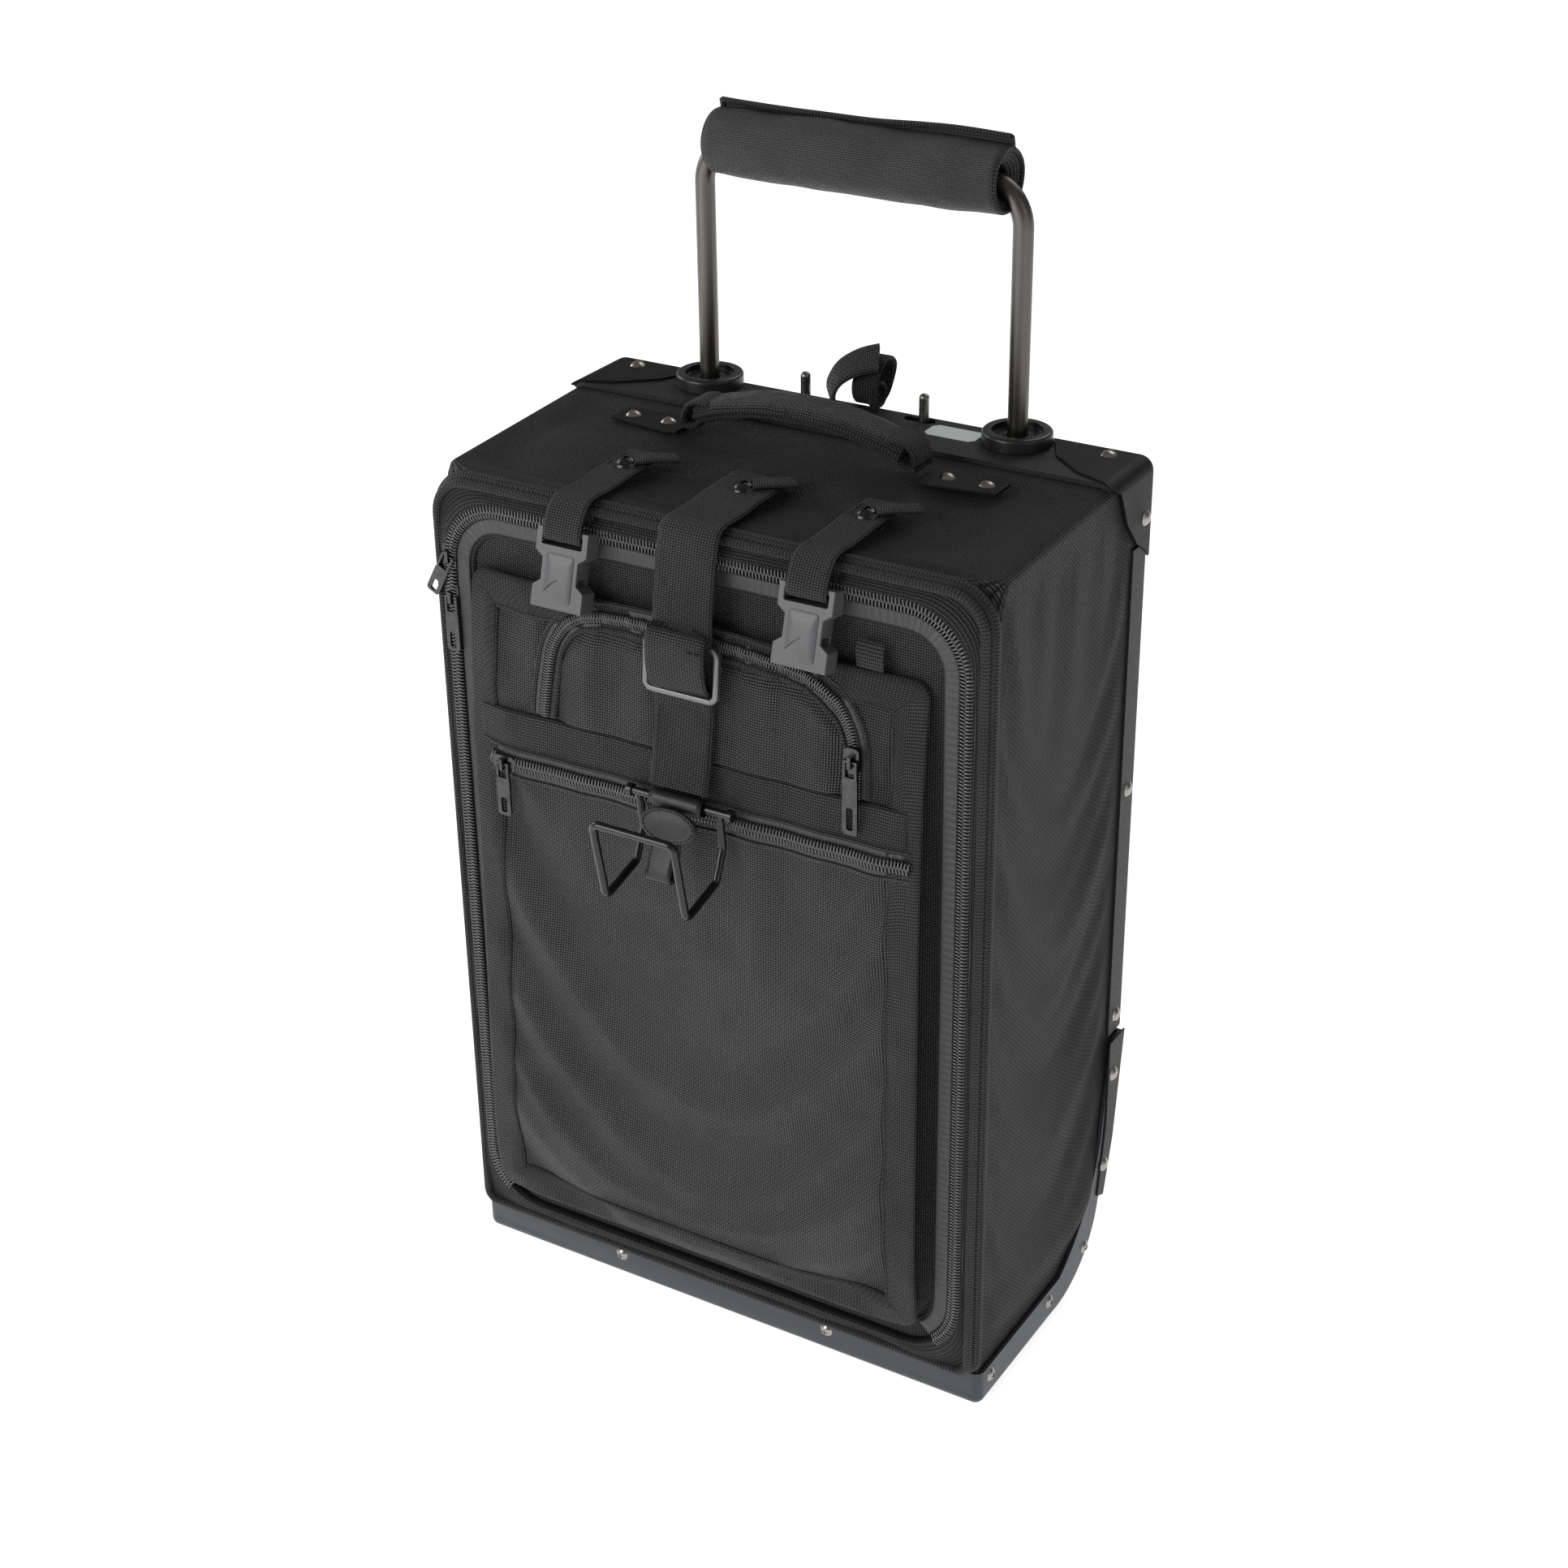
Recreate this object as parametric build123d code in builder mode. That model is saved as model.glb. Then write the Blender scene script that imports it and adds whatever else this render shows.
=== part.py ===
from build123d import *
import os

# Pilot's rolling flight case: a fabric tub on a plastic base pan, a metal frame along its back
# corners, a zipped front panel that folds down, two wheels and a pull-out handle.
# Millimetres. X runs across the case, Y from its front to its back, Z up from the floor.
# The origin is on the floor, under the middle of the whole object's box.
os.makedirs("parts", exist_ok=True)

# Driving dimensions
caseWidth = 356.0       # 14 in, across the pan and the corner guards
caseDepth = 186.0       # from the tub's front face to its back
caseHeight = 537.0      # floor to top rail
frontY = -59.4          # the tub's front face
sheet = 1.4             # frame parts
skin = 3.0              # laminated fabric, board and lining
wheelRadius = 36.0
wheelX = 141.0          # middle of each wheel
wheelWidth = 26.0
rodRadius = 5.75        # tube of the pull-out handle
rodX = 101.0            # its two legs stand at -rodX and rodX
gripZ = 683.0           # middle of its grip, half pulled out
pinX = 39.0             # release pins
wireRadius = 2.3        # J-hook
webbing = 1.8           # thickness of a strap
strapX = 76.2           # the side straps, left and right of the middle one

# Worked out from them
halfW = caseWidth / 2
tubX = halfW - 2.8      # the tub's sides lie inside the pan's flanges
backY = frontY + caseDepth
sides = (("left", -1), ("right", 1))


def behind(depth):
    """Y of a point that lies depth behind the tub's front face."""
    return frontY + depth


def save(builder, name):
    builder.part.label = name
    export_step(builder.part, f"parts/{name}.step")


def outline(*points):
    """Adds a closed polygon of (depth, height) points to a sketch on the YZ plane."""
    Polygon(*[(behind(depth), height) for depth, height in points], align=None)


def heads(name, planes, radius, height, crossed=True):
    """A group of domed heads, each standing on its plane, with a cross recess if crossed."""
    ball = (radius ** 2 + height ** 2) / (2 * height)
    with BuildPart() as head:
        with Locations((0, 0, height - ball)):
            Sphere(ball)
        with Locations((0, 0, height / 2)):
            Box(2.2 * radius, 2.2 * radius, height, mode=Mode.INTERSECT)
        if crossed:
            with BuildSketch(Plane.XY.offset(0.45 * height)):
                Rectangle(0.95 * radius, 0.22 * radius)
                Rectangle(0.22 * radius, 0.95 * radius)
            extrude(amount=height, mode=Mode.SUBTRACT)
    with BuildPart() as group:
        with Locations(*planes):
            add(head.part)
    save(group, name)


# ---- Base pan: a tray whose floor curves up behind, with flanges along both sides ----
panTop = 29.0
panFloor = 5.0
panWall = 2.3
wheelCut = 35.0
with BuildPart() as basePan:
    with BuildSketch(Plane.YZ):
        with BuildLine():
            Polyline((behind(-3), panTop), (behind(-3), panFloor), (behind(96), panFloor))
            ThreePointArc((behind(96), panFloor), (behind(140), 19), (behind(160), 52))
            Polyline((behind(160), 52), (behind(170), 93), (behind(180), 167), (behind(168), 167),
                     (behind(157), 112))
            ThreePointArc((behind(157), 112), (behind(140), 63), (behind(103), panTop))
            Line((behind(103), panTop), (behind(-3), panTop))
        make_face()
    extrude(amount=halfW, both=True)
    floorEdges = basePan.edges().filter_by(
        lambda e: e.center().Z < panFloor + 0.1 and e.center().Y < behind(95))
    lipCorners = basePan.edges().filter_by(Axis.Z).filter_by(lambda e: e.center().Y < frontY)
    fillet(floorEdges + lipCorners, radius=6)
    with BuildSketch(Plane.YZ):
        with BuildLine():
            Polyline((behind(-3 + panWall), 168), (behind(-3 + panWall), panFloor + panWall),
                     (behind(94), panFloor + panWall))
            ThreePointArc((behind(94), panFloor + panWall), (behind(138), 21.4), (behind(157.6), 53))
            Polyline((behind(157.6), 53), (behind(167.6), 93), (behind(177.4), 168),
                     (behind(-3 + panWall), 168))
        make_face()
    extrude(amount=halfW - panWall, both=True, mode=Mode.SUBTRACT)
    for name, side in sides:
        with Locations((side * wheelX, behind(160), 40)):
            Box(wheelCut, 92, 84, mode=Mode.SUBTRACT)
save(basePan, "base_pan")

with BuildPart() as frontFeet:
    for name, side in sides:
        with BuildSketch():
            with Locations((side * 141, behind(22))):
                RectangleRounded(48, 30, 5)
        extrude(amount=panFloor)
save(frontFeet, "front_feet")

# ---- Fabric tub: floor, sides, top and back, with its mouth in front ----
mouthX = 164.0
mouthLow = 42.0
mouthHigh = 513.0
mouthRadius = 36.0
tubFloor = panFloor + panWall + 0.3
tubTop = caseHeight - 3
frontTop = caseHeight - 8     # the top falls a little towards the front
railFront = 132.6             # depth at which the top rail starts
pinDepth = 173.0
rodDepth = 167.0
with BuildPart() as bodyTub:
    with BuildSketch(Plane.YZ):
        with BuildLine():
            Polyline((frontY, frontTop - 8), (frontY, tubFloor), (behind(92), tubFloor))
            ThreePointArc((behind(92), tubFloor), (behind(137), 22.8), (behind(157), 54))
            Polyline((behind(157), 54), (behind(176.5), 168), (behind(181), 190), (behind(181), tubTop),
                     (behind(railFront), tubTop), (behind(8), frontTop))
            RadiusArc((behind(8), frontTop), (frontY, frontTop - 8), -8)
        make_face()
    extrude(amount=tubX, both=True)
    with BuildSketch(Plane.YZ):
        with BuildLine():
            Polyline((behind(skin), frontTop - skin), (behind(skin), tubFloor + skin),
                     (behind(90), tubFloor + skin))
            ThreePointArc((behind(90), tubFloor + skin), (behind(134), 26), (behind(153.5), 56))
            Polyline((behind(153.5), 56), (behind(173), 168), (behind(178), 192),
                     (behind(178), tubTop - skin), (behind(railFront), tubTop - skin),
                     (behind(skin), frontTop - skin))
        make_face()
    extrude(amount=tubX - skin, both=True, mode=Mode.SUBTRACT)
    with BuildSketch(Plane.XZ.offset(-frontY - 5)):
        with Locations((0, (mouthLow + mouthHigh) / 2)):
            RectangleRounded(2 * mouthX, mouthHigh - mouthLow, mouthRadius)
    extrude(amount=20, mode=Mode.SUBTRACT)
    for name, side in sides:
        with Locations((side * wheelX, behind(163), 0)):
            Box(wheelCut, 92, 166, mode=Mode.SUBTRACT)
        with Locations((side * rodX, behind(rodDepth), tubTop)):
            Cylinder(9, 20, mode=Mode.SUBTRACT)
        with Locations((side * (pinX - 2.5), behind(pinDepth), tubTop)):
            Box(20, 8, 20, mode=Mode.SUBTRACT)
save(bodyTub, "body_tub")

gussetDepth = 7.0
with BuildPart() as frontGusset:
    with BuildSketch(Plane.XZ.offset(-frontY)):
        with Locations((0, (panTop + frontTop) / 2)):
            RectangleRounded(2 * tubX, frontTop - panTop - 2, 14)
        with Locations((0, (mouthLow + mouthHigh) / 2)):
            RectangleRounded(2 * mouthX, mouthHigh - mouthLow, mouthRadius, mode=Mode.SUBTRACT)
    extrude(amount=gussetDepth)
save(frontGusset, "front_gusset")


def zipperRing(name, outerX, innerX, low, high, radius, depthStart, depth):
    """A flat zipper tape that follows the rounded mouth of the front on three sides."""
    with BuildPart() as ring:
        with BuildSketch(Plane.XZ.offset(-behind(depthStart))):
            with Locations((0, (low + high) / 2)):
                RectangleRounded(2 * outerX, high - low, radius)
                shrink = outerX - innerX
                RectangleRounded(2 * innerX, high - low - 2 * shrink, radius - shrink,
                                 mode=Mode.SUBTRACT)
            with Locations((0, low)):
                Rectangle(2 * outerX, 28, mode=Mode.SUBTRACT)
        extrude(amount=depth)
    save(ring, name)


zipperRing("body_zipper_half", mouthX + 8, mouthX - 0.4, mouthLow - 8, mouthHigh + 8, mouthRadius + 8,
           -gussetDepth, 1.6)
zipperRing("lid_zipper_half", mouthX - 1.0, mouthX - 8, mouthLow + 1.0, mouthHigh - 1.0, mouthRadius - 1.0,
           -gussetDepth, 1.6)

# ---- Metal frame ----
slotLength = 20.0
with BuildPart() as topRail:
    with BuildSketch(Plane.YZ):
        outline((railFront, tubTop + 0.4), (railFront, caseHeight), (186, caseHeight), (186, 500),
                (186 - sheet, 500), (186 - sheet, caseHeight - sheet), (railFront + 3, caseHeight - sheet),
                (railFront + 3, tubTop + 0.4))
    extrude(amount=halfW - 1.6, both=True)
    for name, side in sides:
        with Locations((side * rodX, behind(rodDepth), caseHeight)):
            Cylinder(9, 20, mode=Mode.SUBTRACT)
        with BuildSketch(Plane.XY.offset(caseHeight - 5)):
            with Locations((side * (pinX - 2.5), behind(pinDepth))):
                SlotOverall(slotLength, 7.6)
        extrude(amount=10, mode=Mode.SUBTRACT)
save(topRail, "top_rail")

for name, side in sides:
    inner = tubX + 0.1
    railWall = sheet - 0.2
    with BuildPart() as sideRail:
        with BuildSketch(Plane.XY.offset(171)):
            with BuildLine():
                Polyline((side * inner, behind(162)), (side * (inner + railWall), behind(162)),
                         (side * (inner + railWall), backY), (side * 160, backY), (side * 160, backY - sheet),
                         (side * inner, backY - sheet), close=True)
            make_face()
        extrude(amount=318)
    save(sideRail, f"side_rail_{name}")

    with BuildPart() as guard:
        with Locations((side * (halfW + 112) / 2, behind(156.7), 506.7)):
            Box(halfW - 112, 61.4, 63.4)
        with Locations((side * (halfW - sheet + 80) / 2, behind(155), 504)):
            Box(halfW - sheet - 80, 62, 66, mode=Mode.SUBTRACT)
        with BuildSketch(Plane.XY.offset(caseHeight - 0.1)):
            with BuildLine():
                Polyline((side * 111, behind(188)), (side * 114, behind(188)), (side * 117, behind(181)),
                         (side * 130, behind(157)), (side * 151, behind(140)), (side * 179, behind(129)),
                         (side * 179, behind(120)), (side * 111, behind(120)), close=True)
            make_face()
        extrude(amount=3, mode=Mode.SUBTRACT)
        with BuildSketch(Plane.YZ.offset(side * (halfW - sheet - 0.1))):
            outline((120, 540), (128, 539), (139, 530), (149, 509), (163, 493), (188, 477), (188, 470),
                    (120, 470))
        extrude(amount=side * 3, mode=Mode.SUBTRACT)
        with BuildSketch(Plane.XZ.offset(-backY + 0.1)):
            with BuildLine():
                Polyline((side * 111, 540), (side * 114, 538), (side * 126, 527), (side * 146, 509),
                         (side * 158, 490), (side * 179, 477), (side * 179, 470), (side * 111, 470),
                         close=True)
            make_face()
        extrude(amount=-3, mode=Mode.SUBTRACT)
    save(guard, f"corner_guard_{name}")

with BuildPart() as wheelBrackets:
    for name, side in sides:
        with BuildSketch(Plane.YZ.offset(side * halfW)):
            outline((160, 168), (181, 168), (171, 94), (161, 56), (152, 60), (158, 95), (160, 112))
        extrude(amount=side * 1.2)
save(wheelBrackets, "wheel_brackets")

with BuildPart() as backPanel:
    with BuildSketch(Plane.XZ.offset(-backY + sheet + 0.2)):
        with Locations((0, 338)):
            RectangleRounded(312, 292, 8)
    extrude(amount=3)
save(backPanel, "back_panel")

# Domed rivets and screws of the frame, the guards and the pan
rivets = []
for name, side in sides:
    outward = (side, 0, 0)
    rivets.append(Plane((side * 155, behind(171), caseHeight + sheet)))
    rivets.append(Plane((side * halfW, behind(173), 505), x_dir=(0, 1, 0), z_dir=outward))
    rivets.append(Plane((side * 150, backY + sheet, 516), x_dir=(1, 0, 0), z_dir=(0, 1, 0)))
    rivets.append(Plane((side * (tubX + 1.3), behind(171.6), 336.5), x_dir=(0, 1, 0), z_dir=outward))
    rivets.append(Plane((side * (tubX + 1.3), behind(171.6), 182), x_dir=(0, 1, 0), z_dir=outward))
    for depth, height in ((166.5, 143), (159, 80)):
        rivets.append(Plane((side * (halfW + 1.2), behind(depth), height), x_dir=(0, 1, 0), z_dir=outward))
panHeads = [Plane((x, behind(-3), 21), x_dir=(1, 0, 0), z_dir=(0, -1, 0)) for x in (-74, 74)]
for name, side in sides:
    for depth, height in ((138, 30), (89, 21), (11, 21)):
        panHeads.append(Plane((side * halfW, behind(depth), height), x_dir=(0, 1, 0), z_dir=(side, 0, 0)))
heads("pan_screws", panHeads, 4.2, 2.0)

# ---- Wheels in their housings ----
axleY = behind(163)
axleZ = wheelRadius
with BuildPart() as housings:
    for name, side in sides:
        with BuildSketch(Plane.YZ.offset(side * wheelX - 17)):
            with Locations((axleY, axleZ)):
                Circle(42)
            with Locations((axleY + 60, axleZ)):
                Rectangle(96, 100, mode=Mode.SUBTRACT)
            with Locations((axleY, 0)):
                Rectangle(100, 15.6, mode=Mode.SUBTRACT)
        extrude(amount=34)
        with BuildSketch(Plane.YZ.offset(side * wheelX - 15)):
            with Locations((axleY, axleZ)):
                Circle(39.5)
        extrude(amount=30, mode=Mode.SUBTRACT)
        with Locations(Location((side * wheelX, axleY, axleZ), (0, 90, 0))):
            Cylinder(4, 60, mode=Mode.SUBTRACT)
save(housings, "wheel_housings")

for name, side in sides:
    with BuildPart() as tyre:
        with BuildSketch(Plane.YZ.offset(side * wheelX - wheelWidth / 2)):
            with Locations((axleY, axleZ)):
                Circle(wheelRadius)
                Circle(26, mode=Mode.SUBTRACT)
        extrude(amount=wheelWidth)
        fillet(tyre.edges().filter_by(GeomType.CIRCLE).sort_by(SortBy.RADIUS)[-2:], radius=6)
    save(tyre, f"tyre_{name}")

    with BuildPart() as hub:
        with BuildSketch(Plane.YZ.offset(side * wheelX - 12)):
            with Locations((axleY, axleZ)):
                Circle(26)
                Circle(11, mode=Mode.SUBTRACT)
        extrude(amount=24)
        for face in (-12, 5):
            with BuildSketch(Plane.YZ.offset(side * wheelX + face)):
                with Locations((axleY, axleZ)):
                    with PolarLocations(18, 5):
                        Circle(4.2)
            extrude(amount=7, mode=Mode.SUBTRACT)
        for start in (-11, 4):
            with BuildSketch(Plane.YZ.offset(side * wheelX + start)):
                with Locations((axleY, axleZ)):
                    Circle(10.98)
                    Circle(4.05, mode=Mode.SUBTRACT)
            extrude(amount=7)
    save(hub, f"wheel_hub_{name}")

with BuildPart() as axles:
    for name, side in sides:
        with Locations(Location((side * wheelX, axleY, axleZ), (0, 90, 0))):
            Cylinder(4, 34)
        for end in (-1, 1):
            with Locations(Location((side * wheelX + end * 18.2, axleY, axleZ), (0, 90, 0))):
                Cylinder(7, 2.4)
save(axles, "wheel_axles")

# ---- Pull-out handle: one bent tube, its guides, grommets and grip ----
rodFoot = 294.0
guideFoot = 190.0
bendRadius = 25.0
with BuildPart() as handleTube:
    with BuildLine() as handlePath:
        FilletPolyline((-rodX, behind(rodDepth), rodFoot), (-rodX, behind(rodDepth), gripZ),
                       (rodX, behind(rodDepth), gripZ), (rodX, behind(rodDepth), rodFoot), radius=bendRadius)
    with BuildSketch(Plane((-rodX, behind(rodDepth), rodFoot))):
        Circle(rodRadius)
        Circle(rodRadius - 1.5, mode=Mode.SUBTRACT)
    sweep(path=handlePath.line)
save(handleTube, "handle_tube")

with BuildPart() as rodGlides:
    for name, side in sides:
        with Locations((side * rodX, behind(rodDepth), rodFoot - 6)):
            Cylinder(rodRadius + 0.9, 12)
save(rodGlides, "rod_glides")

with BuildPart() as guideTubes:
    for name, side in sides:
        with BuildSketch(Plane.XY.offset(guideFoot)):
            with Locations((side * rodX, behind(rodDepth))):
                Circle(rodRadius + 2.8)
                Circle(rodRadius + 1.4, mode=Mode.SUBTRACT)
        extrude(amount=caseHeight - 2 - guideFoot)
        with Locations(Location((side * (rodX - 7.5), behind(rodDepth), 523), (0, 90, 0))):
            Cylinder(2.8, 6, mode=Mode.SUBTRACT)
save(guideTubes, "guide_tubes")

grommetHeight = 8.0
with BuildPart() as grommets:
    for name, side in sides:
        with BuildSketch(Plane.XY.offset(caseHeight)):
            with Locations((side * rodX, behind(rodDepth))):
                Circle(20)
                Circle(rodRadius + 0.5, mode=Mode.SUBTRACT)
        extrude(amount=grommetHeight)
        with BuildSketch(Plane.XY.offset(caseHeight + 4)):
            with Locations((side * rodX, behind(rodDepth))):
                Circle(14.5)
        extrude(amount=grommetHeight, mode=Mode.SUBTRACT)
        with BuildSketch(Plane.XY.offset(caseHeight + 4)):
            with Locations((side * rodX, behind(rodDepth))):
                Circle(rodRadius + 2)
                Circle(rodRadius + 0.5, mode=Mode.SUBTRACT)
        extrude(amount=1)
    rims = grommets.edges().filter_by(GeomType.CIRCLE).filter_by(
        lambda e: e.center().Z > caseHeight + grommetHeight - 0.1 and e.radius > 19)
    fillet(rims, radius=2)
save(grommets, "grommets")

grommetHeads = []
for name, side in sides:
    for turn in (20, 140, 220, 320):
        middle = Location((side * rodX, behind(rodDepth), caseHeight + 4), (0, 0, turn))
        grommetHeads.append(Plane(middle * Location((11, 0, 0))))
heads("grommet_screws", grommetHeads, 2.2, 1.2)

gripHalf = 76.0
with BuildPart() as gripFoam:
    with Locations(Location((0, behind(rodDepth), gripZ), (0, 90, 0))):
        Cylinder(15.5, 2 * gripHalf)
        Cylinder(rodRadius + 0.1, 2 * gripHalf + 2, mode=Mode.SUBTRACT)
save(gripFoam, "grip_foam")

with BuildPart() as gripWrap:
    with BuildSketch(Plane.YZ.offset(-91)):
        with Locations((behind(rodDepth), gripZ)):
            Circle(19)
        with BuildLine():
            Polyline((behind(rodDepth) - 2, gripZ + 17), (behind(rodDepth) + 14, gripZ + 26),
                     (behind(rodDepth) + 16, gripZ + 23), (behind(rodDepth) + 8, gripZ + 14), close=True)
        make_face()
        with Locations((behind(rodDepth), gripZ)):
            Circle(15.7, mode=Mode.SUBTRACT)
    extrude(amount=182)
save(gripWrap, "grip_wrap")

# ---- Release pins: squeezed together, they draw the latch bars out of the guides ----
barZ = 523.0
for name, side in sides:
    with BuildPart() as releasePin:
        with BuildSketch(Plane.XY.offset(barZ)):
            with Locations((side * pinX, behind(pinDepth))):
                Circle(3)
        extrude(amount=caseHeight + 16 - barZ)
        fillet(releasePin.edges().sort_by(Axis.Z)[-1], radius=2.6)
        with Locations((side * 59, behind(rodDepth), barZ)):
            Box(62, 5, 4)
        with Locations((side * pinX, behind((pinDepth + rodDepth) / 2), barZ)):
            Box(8, 12, 4)
        with Locations(Location((side * 92, behind(rodDepth), barZ), (0, 90, 0))):
            Cylinder(2, 5)
    save(releasePin, f"release_pin_{name}")

with BuildPart() as latchChannel:
    with BuildSketch(Plane.YZ.offset(-88)):
        outline((159, 518.6), (179.5 - 2, 518.6), (177.5, 530), (176.3, 530), (176.3, 520), (160.2, 520),
                (160.2, 530), (159, 530))
    extrude(amount=176)
save(latchChannel, "latch_channel")

with BuildPart() as labelPlate:
    with BuildSketch(Plane.XY.offset(caseHeight)) as labelShape:
        with Locations((64, behind(162))):
            Rectangle(32, 16)
        chamfer(labelShape.vertices(), 3)
    extrude(amount=0.4)
save(labelPlate, "label_plate")

# ---- Hook-and-loop strap behind the rail ----
with BuildPart() as cableStrap:
    with BuildSketch(Plane.YZ.offset(-25)):
        with Locations((behind(183), 553.6)):
            Ellipse(13, 16)
            Ellipse(10.4, 13.4, mode=Mode.SUBTRACT)
    extrude(amount=27)
    with BuildSketch(Plane.YZ.offset(3)):
        with Locations((behind(179), 544.5)):
            RectangleRounded(13, 15, 3)
            RectangleRounded(8, 10, 2, mode=Mode.SUBTRACT)
    extrude(amount=7)
save(cableStrap, "cable_strap")

# ---- Carry handle on the top ----
carryDepth = 105.0
carryZ = 541.5
plateZ = 533.6
with BuildPart() as carryPlates:
    for name, side in sides:
        with BuildSketch(Plane.XY.offset(plateZ)):
            with BuildLine():
                Polyline((side * 77, behind(carryDepth - 12)), (side * 84, behind(carryDepth - 14)),
                         (side * 124, behind(carryDepth - 9)), (side * 124, behind(carryDepth + 9)),
                         (side * 84, behind(carryDepth + 14)), (side * 77, behind(carryDepth + 12)),
                         close=True)
            make_face()
        extrude(amount=1.8)
save(carryPlates, "carry_plates")
rivets += [Plane((x, behind(carryDepth), plateZ + 1.8)) for x in (-114, -90, 90, 114)]
heads("rivets", rivets, 4.6, 2.4, crossed=False)

with BuildPart() as carryHandle:
    with BuildSketch(Plane.XZ.offset(-behind(carryDepth + 12.5))):
        with BuildLine():
            ThreePointArc((-67, 552), (0, 563), (67, 552))
            Line((67, 552), (67, 545))
            ThreePointArc((67, 545), (0, 550), (-67, 545))
            Line((-67, 545), (-67, 552))
        make_face()
    extrude(amount=25)
    fillet(carryHandle.edges().filter_by(GeomType.CIRCLE), radius=3)
    for name, side in sides:
        with BuildSketch(Plane.XZ.offset(-behind(carryDepth + 3.5))):
            with BuildLine():
                Polyline((side * 64, 551), (side * 76, 546), (side * 80, carryZ), (side * 74, carryZ - 2),
                         (side * 64, 545.6), close=True)
            make_face()
        extrude(amount=7)
        with Locations(Location((side * 80, behind(carryDepth), carryZ), (0, 90, 0))):
            Cylinder(3.8, 12)
save(carryHandle, "carry_handle")

# ---- Strap anchors: screws with cup washers, and the webbing under them ----
edgeDepth = -11.5       # the straps turn down here
edgeZ = 529.6
strapScrewDepth = 41.0
strapWidths = (("left", -strapX, 25.0), ("centre", 0.0, 38.0), ("right", strapX, 25.0))
with BuildPart() as strapTops:
    for name, x, width in strapWidths:
        with BuildSketch(Plane.YZ.offset(x - width / 2)):
            outline((58, 532), (58, 532 + webbing), (0, 530.2 + webbing), (edgeDepth + 2.4, 530.2 + webbing),
                    (edgeDepth + 2.4, 530.2), (0, 530.2))
        extrude(amount=width)
save(strapTops, "strap_anchors")

screwZ = 533.8
with BuildPart() as cupWashers:
    for name, x, width in strapWidths:
        with BuildSketch(Plane.XY.offset(screwZ)):
            with Locations((x, behind(strapScrewDepth))):
                Circle(8)
        extrude(amount=1.2, taper=20)
save(cupWashers, "cup_washers")
heads("strap_screws", [Plane((x, behind(strapScrewDepth), screwZ + 1.2)) for name, x, width in strapWidths],
      5.4, 2.6)

# ---- Side straps with the female halves of side-release buckles ----
buckleTilt = 15.0
for name, x, width in (strapWidths[0], strapWidths[2]):
    with BuildPart() as web:
        with Locations(Location((x, behind(edgeDepth), edgeZ), (0, 90, 0))):
            Cylinder(1.6, width)
        with BuildSketch(Plane.YZ.offset(x - width / 2)):
            outline((edgeDepth - 0.9, edgeZ), (edgeDepth + 0.9, edgeZ), (-13.4, 517), (-15.6, 517))
        extrude(amount=width)
    save(web, f"strap_web_{name}")

    frame = Plane(Location((x, behind(-15.5), 514.8), (-buckleTilt, 0, 0)))
    with BuildPart() as buckle:
        with BuildSketch(Plane(frame.origin, x_dir=(1, 0, 0), z_dir=frame.y_dir)):
            with BuildLine():
                Polyline((-16.5, 0), (16.5, 0), (16.5, 13), (11.5, 16.5), (11.5, 29), (16.5, 32.5),
                         (16.5, 44), (-16.5, 44), (-16.5, 32.5), (-11.5, 29), (-11.5, 16.5),
                         (-16.5, 13), close=True)
            make_face()
        extrude(amount=6, both=True)
        with BuildSketch(Plane(frame.origin, x_dir=(1, 0, 0), z_dir=frame.y_dir)):
            with Locations((0, 6)):
                RectangleRounded(26, 7, 1)
        extrude(amount=6, both=True, mode=Mode.SUBTRACT)
        with BuildSketch(Plane(frame.origin, x_dir=(1, 0, 0), z_dir=frame.y_dir)):
            with Locations((0, 35)):
                Rectangle(25, 18)
        extrude(amount=3.8, both=True, mode=Mode.SUBTRACT)
    save(buckle, f"buckle_{name}")

# ---- Middle strap: tri-glide, leather sleeve with its tab and loop, and the J-hook ----
hookDepth = -32.5
hookZ = 376.0
with BuildPart() as middleWeb:
    with Locations(Location((0, behind(edgeDepth), edgeZ), (0, 90, 0))):
        Cylinder(1.6, 38)
    with BuildSketch(Plane.YZ.offset(-19)):
        outline((edgeDepth - 0.9, edgeZ), (edgeDepth + 0.9, edgeZ), (-23.3, 470), (-31.2, 384),
                (-33.6, 384), (-26, 470))
    extrude(amount=38)
save(middleWeb, "strap_web_centre")

glide = Plane((0, behind(-26.3), 453.5), x_dir=(1, 0, 0), z_dir=(0, -1, 0.085))
with BuildPart() as triGlide:
    with BuildSketch(glide.offset(-3.2)):
        RectangleRounded(48, 33, 6)
        RectangleRounded(41, 26, 3, mode=Mode.SUBTRACT)
    extrude(amount=4.5)
    fillet(triGlide.edges().filter_by(lambda e: e.length > 12), radius=1.2)
save(triGlide, "tri_glide")

with BuildPart() as leatherSleeve:
    with Locations(Location((0, behind(hookDepth), hookZ), (0, 90, 0))):
        Cylinder(wireRadius + 2.6, 34)
        Cylinder(wireRadius + 0.3, 40, mode=Mode.SUBTRACT)
    with BuildSketch(Plane.YZ.offset(-17)):
        outline((-31.3, 380), (-31.2, 383.6), (-33.6, 383.6), (-33.9, 380.4))
    extrude(amount=34)
save(leatherSleeve, "leather_sleeve")

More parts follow.
